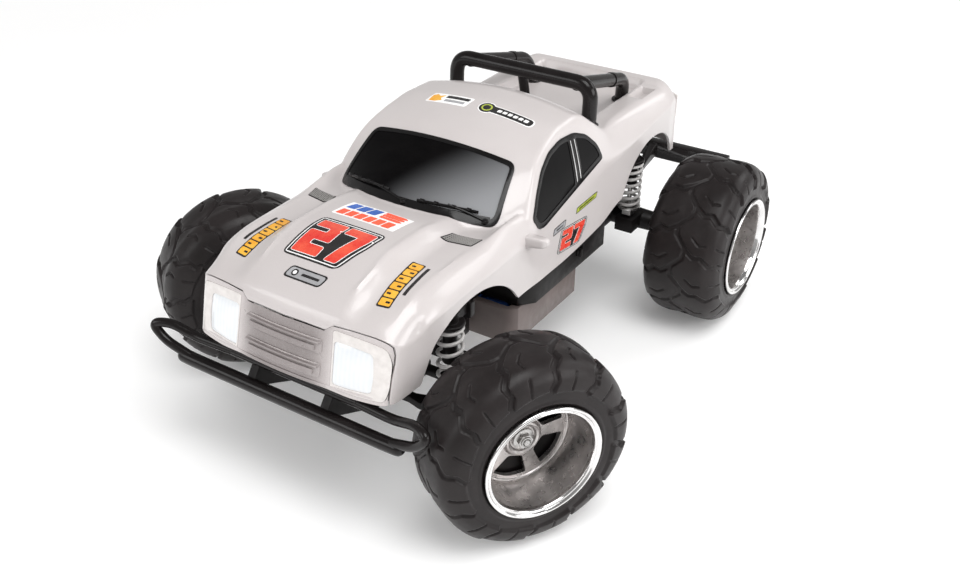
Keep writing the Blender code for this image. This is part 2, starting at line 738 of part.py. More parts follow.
def upper_arm(side):
    plate = prism([(28, -128), (67, -128), (77, -128.2), (77, -126.4), (70.2, -126.4), (70.2, -121.6),
                   (77, -121.6), (77, -119.8), (67, -120), (28, -120)], "Z", 74, 78)
    barrel = rod((ARM_IN_X, -128.1, UPPER_ARM_Z), (ARM_IN_X, -119.9, UPPER_ARM_Z), 3.2, 10)
    hole = rod((ARM_IN_X, -134, UPPER_ARM_Z), (ARM_IN_X, -114, UPPER_ARM_Z), 1.7, 8)
    pin = rod((ARM_OUT_X, -131, UPPER_ARM_Z), (ARM_OUT_X, -117, UPPER_ARM_Z), 1.4, 8)
    shapes = [on_side(s, side) for s in (plate, barrel, hole, pin)]
    return shapes[:2], shapes[2:]


def hub_carrier(side):
    y_low, y_high = FRONT_Y - 5, FRONT_Y + 5
    add = [box((71, 77), (y_low, y_high), (49.8, 72.6)),
           box((76, 90), (y_low, y_high), (49.8, 53.7)),
           box((76, 90), (y_low, y_high), (70.3, 73.4)),
           box((71.5, 76.5), (-125.9, -122.1), (72, 77)),
           rod((ARM_OUT_X, -133, LOWER_ARM_Z), (ARM_OUT_X, -120.7, LOWER_ARM_Z), 3.2, 10),
           rod((ARM_OUT_X, -125.9, UPPER_ARM_Z), (ARM_OUT_X, -122.1, UPPER_ARM_Z), 3.0, 10),
           rod((ARM_OUT_X, -135.6, LOWER_ARM_Z), (ARM_OUT_X, -118.1, LOWER_ARM_Z), 1.1, 8),
           rod((ARM_OUT_X, -127.8, UPPER_ARM_Z), (ARM_OUT_X, -120.2, UPPER_ARM_Z), 1.0, 8)]
    cut = [rod((KINGPIN_X, FRONT_Y, 45), (KINGPIN_X, FRONT_Y, 80), 2.0, 10)]
    return [on_side(s, side) for s in add], [on_side(s, side) for s in cut]


def knuckle(side, word):
    """Steering knuckle with its stub axle and its arm, in its own straight-ahead frame."""
    reach = KINGPIN_OFFSET
    add = [rod((0, 0, -5.8), (0, 0, 9.8), 5.3, 10),
           rod((0, 0, -9), (0, 0, 13.4), 1.6, 10),
           rod((3 * side, 0, 0), ((reach + 0.4) * side, 0, 0), 5.0, 10),
           rod((reach * side, 0, 0), ((reach + 8) * side, 0, 0), 2.2, 10),
           box((-2.4, 2.4), (3, STEER_RADIUS + 2), (-5.8, -2.8)),
           rod((0, STEER_RADIUS, -3.5), (0, STEER_RADIUS, 16), 1.4, 8)]
    centre = (KINGPIN_X * side, FRONT_Y, AXLE_HEIGHT)
    solid(f"{word}_knuckle", "black", add, (), centre, -STEER_AT_REST)


def front_corner(side, word):
    y = FRONT_Y
    add, cut = lower_arm(side)
    solid(f"{word}_lower_arm", "black", add, cut, (ARM_IN_X * side, y, LOWER_ARM_Z))
    add, cut = upper_arm(side)
    solid(f"{word}_upper_arm", "black", add, cut, (ARM_IN_X * side, y, UPPER_ARM_Z))
    add, cut = hub_carrier(side)
    solid(f"{word}_hub_carrier", "black", add, cut, (ARM_OUT_X * side, y, LOWER_ARM_Z))
    knuckle(side, word)


def steering():
    shift = STEER_RADIUS * math.sin(STEER_AT_REST)
    bar = [prism([(-90, -117.6), (90, -117.6), (90, -106.2), (40, -106.2), (14, -105), (-14, -105),
                  (-40, -106.2), (-90, -106.2)], "Z", 64.6, 67.8)]
    slots = [box((x - 2.1, x + 2.1), (-115, -108.8), (60, 72)) for x in (-KINGPIN_X, KINGPIN_X)]
    slots.append(box((-2.1, 2.1), (-114.2, -107.6), (60, 72)))
    moved = Matrix.Translation((shift, 0, 0))
    bar = [([moved @ Vector(p) for p in points], faces) for points, faces in bar]
    slots = [([moved @ Vector(p) for p in points], faces) for points, faces in slots]
    solid("steering_bar", "black", bar, slots, (shift, -112, 66))
    horn = [rod((0, 0, -7.2), (0, 0, 4), 2.2, 10),
            prism([(-5, 4), (5, 4), (3, -STEER_RADIUS - 2.5), (-3, -STEER_RADIUS - 2.5)], "Z", 0, 3),
            rod((0, -STEER_RADIUS, -5), (0, -STEER_RADIUS, 1), 1.4, 8)]
    solid("servo_horn", "grey", horn, (), (0, SERVO_Y, 69), STEER_AT_REST)


# ---------------------------------------------------------------- dampers and springs

def coil_shape(x, y, low, high):
    """Spring wire from the lower seat to the upper collar."""
    steps = 8
    total = SPRING_TURNS * steps
    centre = Vector((x, y, 0))
    path = []
    for i in range(total + 1):
        turn = math.tau * i / steps
        height = low + SPRING_WIRE + (high - low - 2 * SPRING_WIRE) * i / total
        offset = Vector((math.cos(turn), math.sin(turn), 0)) * SPRING_RADIUS
        path.append(centre + offset + Vector((0, 0, height)))
    return bent_tube(path, SPRING_WIRE, 4)


def damper(word, x, y, seat, collar, top, lug_y, side):
    """Coil-over damper standing upright: body on the tower, rod on the moving arm."""
    bottom = seat + 0.5 * (collar - seat)
    add = [rod((x, y, bottom), (x, y, top), DAMPER_RADIUS, 12),
           rod((x, y, collar), (x, y, collar + 2.2), SPRING_RADIUS + 1.4, 16),
           box((x - 4, x + 4), (min(y, lug_y), max(y, lug_y)), (collar + 1, top))]
    bore = rod((x, y, bottom - 2), (x, y, collar), 2.1, 10)
    solid(f"{word}_shock_body", "black", [on_side(s, side) for s in add], [on_side(bore, side)])
    rod_add = [rod((x, y, seat - 2), (x, y, seat), SPRING_RADIUS + 1.4, 16),
               box((x - 3.5, x + 3.5), (y - 3.5, y + 3.5), (seat - 8, seat - 1.5)),
               rod((x, y, seat - 1), (x, y, bottom + ROD_ENGAGEMENT), ROD_RADIUS, 8)]
    solid(f"{word}_shock_rod", "steel", [on_side(s, side) for s in rod_add], (), (x * side, y, seat))
    solid(f"{word}_spring", "steel", [on_side(coil_shape(x, y, seat + GAP, collar - GAP), side)])


def dampers():
    for side, word in ((1, "left"), (-1, "right")):
        damper(f"front_{word}", *FRONT_SHOCK, 60, 110, 119, -129.8, side)
        damper(f"rear_{word}", *REAR_SHOCK, 77, 112, 122, 102.8, side)


# ---------------------------------------------------------------- rear axle

HOUSING_X = (-32.0, 17.0)
HOUSING_Y = (86.0, 150.0)
HOUSING_Z = (38.6, 81.4)


def gear_outline(teeth, phase):
    """Corner points of a spur gear with straight-sided teeth and some backlash."""
    pitch_radius = GEAR_MODULE * teeth / 2
    root = pitch_radius - 1.15 * GEAR_MODULE
    tip = pitch_radius + 0.7 * GEAR_MODULE
    step = math.tau / teeth
    outline = []
    for i in range(teeth):
        middle = phase + step * i
        for radius, share in ((root, -0.27), (tip, -0.11), (tip, 0.11), (root, 0.27)):
            angle = middle + step * share
            outline.append((radius * math.cos(angle), radius * math.sin(angle)))
    return outline


def gear(teeth, phase, y, width, bore):
    outline = [(y + a, AXLE_HEIGHT + b) for a, b in gear_outline(teeth, phase)]
    wheel_body = prism(outline, "X", GEAR_X - width / 2, GEAR_X + width / 2)
    hole = rod((GEAR_X - width, y, AXLE_HEIGHT), (GEAR_X + width, y, AXLE_HEIGHT), bore, 12)
    return wheel_body, hole


def rear_axle():
    centre = (0, REAR_Y, AXLE_HEIGHT)
    shaft_end = REAR_TRACK_HALF + RIM_FACE + 3.6
    shaft = [rod((-shaft_end, REAR_Y, AXLE_HEIGHT), (shaft_end, REAR_Y, AXLE_HEIGHT), 2.2, 12)]
    collars = [rod((x, REAR_Y, AXLE_HEIGHT), (x + 3 * s, REAR_Y, AXLE_HEIGHT), 5.5, 12)
               for s, x in ((1, REAR_TRACK_HALF - 2.6), (-1, -REAR_TRACK_HALF + 2.6))]
    solid("axle_shaft", "steel", shaft + collars, (), centre)
    body, hole = gear(GEAR_TEETH, 0.0, REAR_Y, 6, 2.5)
    solid("drive_gear", "grey", [body], [hole], centre)


def drive_motor():
    y = REAR_Y - GEAR_MODULE * (GEAR_TEETH + PINION_TEETH) / 2 - MESH_SLACK
    can = rod((-28, y, AXLE_HEIGHT), (-1, y, AXLE_HEIGHT), 12, 20)
    boss = rod((-2, y, AXLE_HEIGHT), (1.5, y, AXLE_HEIGHT), 4.4, 12)
    bore = rod((-4, y, AXLE_HEIGHT), (4, y, AXLE_HEIGHT), 1.9, 10)
    solid("drive_motor", "steel", [can, boss], [bore])
    half_step = math.pi / PINION_TEETH
    body, _ = gear(PINION_TEETH, half_step, y, 8, 1)
    shaft = rod((-3, y, AXLE_HEIGHT), (GEAR_X, y, AXLE_HEIGHT), 1.5, 8)
    solid("motor_pinion", "brass", [body, shaft], (), (0, y, AXLE_HEIGHT))


def axle_housing():
    outer = box(HOUSING_X, HOUSING_Y, HOUSING_Z)
    inner = box((HOUSING_X[0] + WALL, HOUSING_X[1] - WALL), (HOUSING_Y[0] + WALL, HOUSING_Y[1] - WALL),
                (HOUSING_Z[0] + WALL / 2, HOUSING_Z[1] - WALL / 2))
    shaft_hole = rod((-130, REAR_Y, AXLE_HEIGHT), (130, REAR_Y, AXLE_HEIGHT), 2.8, 12)
    add = [outer]
    for side in (1, -1):
        start = HOUSING_X[1] - 1 if side > 0 else HOUSING_X[0] + 1
        add.append(rod((start, REAR_Y, AXLE_HEIGHT), (88 * side, REAR_Y, AXLE_HEIGHT), 10, 12, 7))
        add.append(on_side(box((36.4, 43.6), (SWING_Y, REAR_Y), (55, 66)), side))
        add.append(rod((36.4 * side, SWING_Y, SWING_Z), (43.6 * side, SWING_Y, SWING_Z), 5.6, 12))
        pad = box((53, 67), (105, REAR_Y), (57, 67.6))
        add.append(on_side(pad, side))
    eye = rod((-50, SWING_Y, SWING_Z), (50, SWING_Y, SWING_Z), 2.4, 10)
    solid("rear_axle_housing", "black", add, [inner, shaft_hole, eye], (0, SWING_Y, SWING_Z))


def main():
    clear_scene()
    body_shell()
    windows()
    nose_panel()
    chassis_frame()
    battery_box()
    electronics()
    front_bulkhead()
    rear_tower()
    front_bumper()
    rear_bumper()
    roll_bar()
    tail_lamps()
    wheels()
    for side, word in ((1, "left"), (-1, "right")):
        front_corner(side, word)
    steering()
    dampers()
    rear_axle()
    drive_motor()
    axle_housing()


main()
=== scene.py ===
"""Looks of a radio-controlled off-road pickup truck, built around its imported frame.

Lengths are millimetres in the frame's own axes (+Z up, the truck faces -Y, its left is +X)
until a mesh is made, in metres. A shape is a pair of points and faces, and an outline is a
flat closed loop of points.
"""

import math

import bmesh
import bpy
import numpy as np
from mathutils import Matrix, Vector
from mathutils.geometry import delaunay_2d_cdt


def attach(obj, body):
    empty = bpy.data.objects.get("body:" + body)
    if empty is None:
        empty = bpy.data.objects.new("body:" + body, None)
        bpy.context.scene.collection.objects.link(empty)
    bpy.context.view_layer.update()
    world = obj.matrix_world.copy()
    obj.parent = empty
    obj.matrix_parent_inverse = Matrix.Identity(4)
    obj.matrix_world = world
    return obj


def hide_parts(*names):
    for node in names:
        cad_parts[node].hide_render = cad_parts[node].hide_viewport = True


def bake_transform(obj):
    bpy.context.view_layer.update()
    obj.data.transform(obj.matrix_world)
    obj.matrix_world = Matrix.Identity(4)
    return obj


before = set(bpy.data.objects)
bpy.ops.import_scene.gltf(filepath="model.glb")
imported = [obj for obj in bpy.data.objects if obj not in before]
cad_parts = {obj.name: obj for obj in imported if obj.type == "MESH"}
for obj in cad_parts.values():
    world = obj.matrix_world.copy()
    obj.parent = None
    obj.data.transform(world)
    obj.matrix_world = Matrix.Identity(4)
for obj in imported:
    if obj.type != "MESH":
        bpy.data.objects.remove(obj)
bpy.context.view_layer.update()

MM = 0.001
SIDES = ((1, "left"), (-1, "right"))

# Driving places, as in the frame
AXLE_Z = 60.0
FRONT_AXLE_Y = -126.85
REAR_AXLE_Y = 126.85
REAR_TRACK_HALF = 118.5
KINGPIN_X = 84.0
KINGPIN_OFFSET = 42.0
STEER_AT_REST = math.radians(30.5)
NOSE_Y = -198.0
TAIL_Y = 166.0


# ---------------------------------------------------------------- materials

def fill(tree, socket, value):
    """Links a node's output to the socket, or writes a plain value into it."""
    if isinstance(value, bpy.types.NodeSocket):
        tree.links.new(value, socket)
    elif socket.type == "RGBA":
        socket.default_value = (*value, 1.0)
    else:
        socket.default_value = value


def add_node(tree, kind, inputs=(), **settings):
    made = tree.nodes.new(kind)
    for key, value in settings.items():
        setattr(made, key, value)
    for key, value in dict(inputs).items():
        fill(tree, made.inputs[key], value)
    return made


class Look:
    """A procedural material on a Principled shader, with its own small node helpers.

    tone and rough say which noise runs the colour and the roughness, as the arguments of toned
    and varied. bumps are (patch size, detail, depth in mm). The rest are plain socket values.
    """

    SOCKETS = {"plain_rough": "Roughness", "metallic": "Metallic", "gloss": "Specular IOR Level",
               "coat": "Coat Weight", "coat_rough": "Coat Roughness", "glow": "Emission Strength"}

    def __init__(self, name, tone=None, rough=None, bumps=(), **values):
        self.material = bpy.data.materials.new(name)
        self.material.use_nodes = True
        self.tree = self.material.node_tree
        self.place = self.node("ShaderNodeTexCoord").outputs["Object"]
        if tone:
            self.set("Base Color", self.toned(*tone))
        if rough:
            self.set("Roughness", self.varied(*rough))
        self.bump([(self.noise(size, detail), depth) for size, detail, depth in bumps])
        for key, value in values.items():
            self.set(self.SOCKETS[key], value)

    def set(self, name, value):
        fill(self.tree, self.tree.nodes["Principled BSDF"].inputs[name], value)

    def node(self, kind, inputs=(), **settings):
        return add_node(self.tree, kind, inputs, **settings)

    def noise(self, size, detail=3.0, rough=0.55, stretch=None):
        """Noise whose patches are about size millimetres across."""
        place = self.place
        if stretch is not None:
            place = self.node("ShaderNodeMapping", {"Vector": place, "Scale": stretch}).outputs["Vector"]
        inputs = {"Vector": place, "Scale": 1 / (size * MM), "Detail": detail, "Roughness": rough}
        return self.node("ShaderNodeTexNoise", inputs).outputs["Fac"]

    def wave(self, scale, distortion, axis):
        inputs = {"Vector": self.place, "Scale": scale, "Distortion": distortion}
        return self.node("ShaderNodeTexWave", inputs, bands_direction=axis).outputs["Fac"]

    def spread(self, value, low, high, start=0.3, stop=0.7, smooth=False):
        """The value's range from start to stop, drawn out from low to high."""
        inputs = {"Value": value, "From Min": start, "From Max": stop, "To Min": low, "To Max": high}
        kind = "SMOOTHSTEP" if smooth else "LINEAR"
        return self.node("ShaderNodeMapRange", inputs, interpolation_type=kind).outputs["Result"]

    def varied(self, size, detail, low, high, start=0.3, stop=0.7, rough=0.55):
        return self.spread(self.noise(size, detail, rough), low, high, start, stop)

    def blend(self, share, first, second):
        inputs = {0: share, 6: first, 7: second}
        return self.node("ShaderNodeMix", inputs, data_type="RGBA").outputs[2]

    def toned(self, size, detail, dark, light, start=0.3, stop=0.7, rough=0.55):
        return self.blend(self.varied(size, detail, 0, 1, start, stop, rough), dark, light)

    def maths(self, operation, first, second=0.0):
        return self.node("ShaderNodeMath", {0: first, 1: second}, operation=operation).outputs[0]

    def times(self, first, second):
        return self.maths("MULTIPLY", first, second)

    def height(self, name="Z"):
        """A world coordinate of the point, in millimetres."""
        split = self.node("ShaderNodeSeparateXYZ", {"Vector": self.place})
        return self.times(split.outputs[name], 1 / MM)

    def bump(self, layers):
        """Bump from (value, depth in millimetres) layers."""
        normal = None
        for value, depth in layers:
            inputs = {"Height": value, "Distance": depth * MM, "Strength": 1.0}
            if normal is not None:
                inputs["Normal"] = normal
            normal = self.node("ShaderNodeBump", inputs).outputs["Normal"]
        if normal is not None:
            self.set("Normal", normal)


def scaled(colour, factor, lift=0.0):
    return tuple(min(c * factor + lift, 1.0) for c in colour)


def plastic(name, colour, rough, grain=0.5, grain_depth=0.03, variation=0.12, coat=0.0, gloss=0.35):
    """Moulded plastic: a fine grain, faint patches of tone, and uneven gloss."""
    return Look(name, (22, 4, scaled(colour, 1 - variation), scaled(colour, 1 + variation, 0.004)),
                (6, 5, rough * 0.8, min(rough * 1.25, 1.0)), [(grain, 2, grain_depth), (9, 2, 0.05)],
                coat=coat, coat_rough=0.12, gloss=gloss).material


def metal(name, colour, rough, scratch, stretch=None):
    """Metal or plating with fine streaks in its gloss and relief."""
    look = Look(name, (14, 4, scaled(colour, 0.82), colour), metallic=1.0)
    streaks = look.noise(2.0, 6, 0.6, stretch)
    look.set("Roughness", look.spread(streaks, rough * 0.7, min(rough * 1.5, 1.0)))
    look.bump([(streaks, scratch)])
    return look.material


def vinyl(name, colour, other=None):
    """Printed vinyl: even ink with faint mottling under a clear film."""
    return Look(name, (9, 3, colour, other or scaled(colour, 1.25, 0.01)), (3, 3, 0.22, 0.36),
                [(0.6, 2, 0.004)], coat=0.6, coat_rough=0.08).material


def pearl_paint():
    """Gloss paint on a thin shell: soft pearl flakes, faint ripple and patchy darkening towards the lower
    edge.
    """
    look = Look("pearl_paint", None, (30, 2, 0.30, 0.36), [(26, 1, 0.03)], coat=0.55, coat_rough=0.09)
    clean = look.toned(60, 3, (0.515, 0.478, 0.472), (0.552, 0.515, 0.509))
    flakes = look.times(look.varied(0.7, 1, 0, 1, 0.35, 0.7), 0.05)
    clean = look.blend(flakes, clean, (0.74, 0.72, 0.71))
    # Patchy darkening of the paint towards the shell's lower edge, from 118 mm down to 92 mm.
    near_the_edge = look.spread(look.height(), 0.30, 0.0, 92, 118)
    low_darkening = look.times(look.varied(7, 5, 0, 0.6, 0.42, 0.75), near_the_edge)
    look.set("Base Color", look.blend(low_darkening, clean, (0.36, 0.32, 0.30)))
    return look.material


def nose_paint():
    """Silver paint with visible flake, and a painted lamp glow: emission that rises towards both lamps."""
    look = Look("nose_silver_paint", None, (8, 4, 0.27, 0.42), [(22, 1, 0.03)], metallic=0.35,
                coat=0.5, coat_rough=0.1)
    flakes = look.times(look.varied(0.45, 1, 0, 1, 0.45, 0.65), 0.3)
    base = look.toned(30, 3, (0.225, 0.193, 0.190), (0.275, 0.240, 0.236))
    look.set("Base Color", look.blend(flakes, base, (0.48, 0.46, 0.45)))
    # Painted lamp light: emission on the panel that grows towards each lamp and stands in for the lamps'
    # glow.
    across = look.maths("ABSOLUTE", look.height("X"))
    inner, outer = look.spread(across, 0.0, 1.0, 16, 33), look.spread(across, 0.0, 1.0, 78, 66)
    painted_lamp_glow = look.maths("MINIMUM", inner, outer)
    look.set("Emission Color", (1.0, 0.96, 0.95))
    look.set("Emission Strength", look.times(look.maths("POWER", painted_lamp_glow, 2.2), 0.34))
    return look.material


def window_gloss(name, painted_reflection=False):
    """Black gloss plastic panes with faint smears; the windscreen has a grey fade painted on as a painted
    reflection.
    """
    look = Look(name, bumps=[(45, 1, 0.04)], gloss=0.05)
    smears = look.noise(16, 4, 0.6, (1.0, 2.2, 1.0))
    base = look.blend(look.spread(smears, 0, 1), (0.0022, 0.0020, 0.0022), (0.0040, 0.0036, 0.0038))
    if painted_reflection:
        # Painted reflection: a grey fade across the windscreen, lighter towards the truck's left and the
        # foot of the screen.
        slant = look.maths("ADD", look.height("X"), look.times(look.height("Y"), -0.81))
        base = look.blend(look.spread(slant, 0, 1, 50, 116, True), base, (0.245, 0.25, 0.26))
    look.set("Base Color", base)
    low, high = (0.20, 0.27) if painted_reflection else (0.06, 0.12)
    look.set("Roughness", look.spread(smears, low, high, 0.45, 0.8))
    return look.material


def lamp_glow():
    """A lit lamp lens: bright in the middle, with moulded vertical flutes."""
    look = Look("lamp_glow", plain_rough=0.12, glow=0.40, coat=0.6, coat_rough=0.05)
    flutes = look.wave(110, 0.3, "X")
    look.set("Base Color", look.blend(flutes, (0.43, 0.445, 0.46), (0.46, 0.47, 0.48)))
    look.bump([(flutes, 0.012), (look.noise(5, 2), 0.03)])
    look.set("Emission Color", look.toned(13, 3, (0.90, 0.95, 1.0), (1.0, 1.0, 1.0), 0.35, 0.65))
    return look.material


def milky_lens():
    # A faint glow of the lamp behind the lens; the drive gear wears this look too, so it glows faintly
    # though it is no lamp.
    look = Look("milky_lens", (5, 3, (0.60, 0.565, 0.545), (0.70, 0.665, 0.645)), plain_rough=0.15,
                glow=0.05, coat=0.6)
    look.set("Emission Color", (1.0, 0.97, 0.95))
    look.bump([(look.wave(120, 0.2, "Z"), 0.05)])
    return look.material


def tyre_rubber():
    """Soft black-brown rubber, dull, with a faint dusty bloom and fine mould grain."""
    look = Look("tyre_rubber", None, (5, 5, 0.32, 0.45), [(0.45, 2, 0.02), (5, 2, 0.03)], gloss=0.24)
    base = look.toned(26, 4, (0.0125, 0.0098, 0.0098), (0.021, 0.0170, 0.0170), 0.35, 0.7, 0.5)
    dust = look.times(look.varied(2.6, 5, 0, 1, 0.56, 0.8, 0.6), 0.22)
    look.set("Base Color", look.blend(dust, base, (0.044, 0.036, 0.035)))
    return look.material


def circuit_lacquer():
    """Green lacquered board with paler tracks."""
    look = Look("circuit_lacquer", None, (3, 4, 0.2, 0.45))
    tracks = look.node("ShaderNodeTexVoronoi", {"Vector": look.place, "Scale": 260.0},
                       feature="DISTANCE_TO_EDGE").outputs["Distance"]
    lines = look.spread(tracks, 1, 0, 0.02, 0.06)
    look.set("Base Color", look.blend(lines, (0.015, 0.13, 0.06), (0.10, 0.33, 0.14)))
    look.bump([(tracks, 0.05)])
    return look.material


def studio_floor():
    """Matt pale floor that fades into the white backdrop away from the truck."""
    look = Look("studio_floor", plain_rough=0.6, gloss=0.1)
    away = look.node("ShaderNodeVectorMath", {0: look.place}, operation="LENGTH").outputs["Value"]
    fade = look.spread(away, 0, 1, 0.45, 1.9, True)
    pale = look.toned(300, 3, (0.92, 0.92, 0.92), (0.94, 0.94, 0.94))
    look.set("Base Color", look.blend(fade, pale, (0.03, 0.03, 0.03)))
    look.set("Emission Color", (1.0, 1.0, 1.0))
    look.set("Emission Strength", look.spread(fade, 0.10, 1.03, 0.0, 1.0))
    return look.material


LOOKS = {
    "paint": pearl_paint(),
    "nose": nose_paint(),
    "window": window_gloss("window_gloss"),
    "screen": window_gloss("windscreen_gloss", True),
    "trim": plastic("window_trim", (0.0045, 0.0040, 0.0042), 0.22, coat=0.15, gloss=0.2),
    "glow": lamp_glow(),
    "milky": milky_lens(),
    "tube": plastic("bar_gloss_black", (0.0065, 0.0048, 0.0048), 0.22, 1.2, 0.012, 0.2, 0.15, 0.2),
    "black": plastic("chassis_black", (0.0062, 0.0048, 0.0048), 0.40, gloss=0.2),
    "belly": plastic("belly_grey", (0.150, 0.122, 0.115), 0.42, 0.6, 0.04),
    "grey": plastic("part_grey", (0.26, 0.25, 0.24), 0.45),
    "rubber": tyre_rubber(),
    "chrome": metal("lip_chrome", (0.86, 0.85, 0.845), 0.10, 0.004),
    "satin": Look("satin_plate", (7, 6, (0.42, 0.395, 0.385), (0.60, 0.575, 0.565), 0.3, 0.7, 0.62),
                  (4, 5, 0.22, 0.40), [(3.0, 3, 0.012), (16, 1, 0.04)], metallic=0.9).material,
    "steel": metal("turned_steel", (0.55, 0.54, 0.53), 0.28, 0.01, (1, 1, 6)),
    "spring": plastic("spring_enamel", (0.50, 0.485, 0.475), 0.28, 3.0, 0.01, 0.08, 0.5),
    "brass": metal("pinion_brass", (0.72, 0.53, 0.23), 0.3, 0.01),
    "board": circuit_lacquer(),
    "pack": plastic("pack_sleeve", (0.03, 0.09, 0.32), 0.3, coat=0.4),
    "red": vinyl("ink_red", (0.66, 0.028, 0.022), (0.78, 0.10, 0.05)),
    "ink": vinyl("ink_black", (0.010, 0.009, 0.009)),
    "blue": vinyl("ink_blue", (0.02, 0.10, 0.42)),
    "orange": vinyl("ink_orange", (0.80, 0.34, 0.02), (0.85, 0.50, 0.06)),
    "scarlet": vinyl("ink_scarlet", (0.80, 0.09, 0.035)),
    "white": vinyl("ink_white", (0.82, 0.81, 0.80)),
    "slate": vinyl("ink_grey", (0.30, 0.30, 0.31)),
    "lime": vinyl("ink_lime", (0.36, 0.42, 0.05)),
}


# ---------------------------------------------------------------- meshes

def workpiece(name, data):
    """A new object of the scene that isn't a piece of its own."""
    obj = bpy.data.objects.new(name, data)
    bpy.context.scene.collection.objects.link(obj)
    return obj


def place(name, mesh, look, body="chassis", replaced=None, slot=None):
    """A new piece in the row frame, riding on its body."""
    piece = workpiece(name, mesh)
    if not mesh.materials:
        mesh.materials.append(LOOKS[look])
    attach(piece, body)
    if replaced:
        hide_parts(replaced)
    return piece


def build(name, shape, look, body="chassis", replaced=None, slot=None, sharp=35, transform=None):
    """A new piece from a shape."""
    mesh = mesh_of(name, *shape, sharp)
    if transform is not None:
        mesh.transform(transform)
    return place(name, mesh, look, body, replaced, slot)


def cleaned(mesh, sharp, *steps):
    """Runs bmesh steps on the mesh and shades it smooth, with edges over the sharp angle kept."""
    bm = bmesh.new()
    bm.from_mesh(mesh)
    for step in steps:
        step(bm)
    bm.to_mesh(mesh)
    bm.free()
    mesh.shade_smooth()
    mesh.set_sharp_from_angle(angle=math.radians(sharp))
    return mesh


def face_outwards(bm):
    bmesh.ops.recalc_face_normals(bm, faces=bm.faces)


def weld_points(bm):
    bmesh.ops.remove_doubles(bm, verts=bm.verts, dist=1e-6)


def drop_slivers(bm):
    bmesh.ops.remove_doubles(bm, verts=bm.verts, dist=2e-6)
    bmesh.ops.dissolve_degenerate(bm, edges=bm.edges, dist=1e-6)


def split_faces(bm):
    bmesh.ops.triangulate(bm, faces=[face for face in bm.faces if len(face.verts) > 4])


def mesh_of(name, points, faces, sharp=35):
    mesh = bpy.data.meshes.new(name)
    mesh.from_pydata((np.asarray(points, float) * MM).tolist(), [], [list(map(int, f)) for f in faces])
    return cleaned(mesh, sharp, weld_points, face_outwards)


def grid_faces(rows, columns, wrap_rows=False, wrap_columns=False):
    """Quads of a rows x columns lattice of points, numbered row by row."""
    i = np.arange(rows if wrap_rows else rows - 1)[:, None]
    j = np.arange(columns if wrap_columns else columns - 1)[None, :]
    below = (i + 1) % rows
    right = (j + 1) % columns
    corners = [i * columns + j, i * columns + right, below * columns + right, below * columns + j]
    return np.stack([np.broadcast_to(c, (len(i), j.shape[1])) for c in corners], axis=-1).reshape(-1, 4)


def tube_faces(rows, columns):
    """Faces of rings joined in a row, with both ends closed."""
    last = (rows - 1) * columns
    return [*grid_faces(rows, columns, False, True).tolist(), list(range(columns))[::-1],
            list(range(last, last + columns))]


def joined(parts):
    """Several shapes as one."""
    points, faces, start = [], [], 0
    for some, quads in parts:
        points += [tuple(p) for p in some]
        faces += [[start + i for i in f] for f in quads]
        start += len(some)
    return points, faces


def unit(vectors):
    """The vectors at a length of one."""
    return vectors / np.linalg.norm(vectors, axis=-1)[..., None]


def frames_along(path, up=None):
    """Side and up unit vectors at each point of a path, level with up where it is given."""
    forward = unit(np.gradient(path, axis=0))
    if up is not None:
        side = unit(np.cross(forward, up))
        return side, np.cross(side, forward)
    side = np.cross(forward[0], (0, 0, 1.0))
    if np.linalg.norm(side) < 0.05:
        side = np.array((1.0, 0, 0))
    sides = []
    for f in forward:
        side = unit(side - f * side.dot(f))
        sides.append(side)
    sides = np.array(sides)
    return sides, np.cross(sides, forward)


def swept(path, profile, up=None):
    """Skin of a flat (side, up) profile carried along a path, with both ends closed."""
    path, profile = np.asarray(path, float), np.asarray(profile, float)
    side, top = frames_along(path, up)
    points = path[:, None] + side[:, None] * profile[None, :, :1] + top[:, None] * profile[None, :, 1:]
    return points.reshape(-1, 3), tube_faces(len(path), len(profile))


def rod(path, radius, sides, up=None):
    return swept(path, circle(radius, sides), up)


def turns(count):
    """Angles that divide one turn evenly."""
    return math.tau * np.arange(count) / count


def circle(radius, sides):
    angles = turns(sides)
    return np.stack([np.cos(angles), np.sin(angles)], axis=1) * radius


def bend(start, corner, end, steps):
    """Points from start to end on a curve drawn towards the corner."""
    shares = [i / steps for i in range(steps + 1)]
    return [start * (1 - t) ** 2 + corner * 2 * t * (1 - t) + end * t ** 2 for t in shares]


def rounded(corners, radius, steps=8):
    """Path through corners, each rounded to about the radius."""
    corners = [Vector(c) for c in corners]
    path = [corners[0]]
    for before, corner, after in zip(corners, corners[1:], corners[2:]):
        reach = min(radius, (before - corner).length * 0.49, (after - corner).length * 0.49)
        start = corner + (before - corner).normalized() * reach
        path += bend(start, corner, corner + (after - corner).normalized() * reach, steps)
    return [tuple(p) for p in [*path, corners[-1]]]


def turned(profile, steps=96, axis="X", closed=False):
    """Surface turned about an axis from (along, radius) points."""
    angles = turns(steps)
    profile = np.asarray(profile, float)
    along = np.broadcast_to(profile[:, 0][None, :], (steps, len(profile)))
    u = profile[:, 1][None, :] * np.cos(angles)[:, None]
    v = profile[:, 1][None, :] * np.sin(angles)[:, None]
    points = np.stack((along, u, v) if axis == "X" else (u, v, along), axis=-1)
    return points.reshape(-1, 3), grid_faces(steps, len(profile), True, closed).tolist()


def smooth_profile(corners, radius=1.0, steps=4):
    """Turned profile with its inner corners rounded."""
    path = rounded([(a, r, 0) for a, r in corners], radius, steps)
    return [(p[0], p[1]) for p in path]


def rotated(points, angle):
    """Flat points turned about the middle by an angle in radians."""
    c, s = math.cos(angle), math.sin(angle)
    return points @ np.array([[c, s], [-s, c]])


def moved(shape, offset):
    return np.asarray(shape[0], float) + np.asarray(offset, float), shape[1]


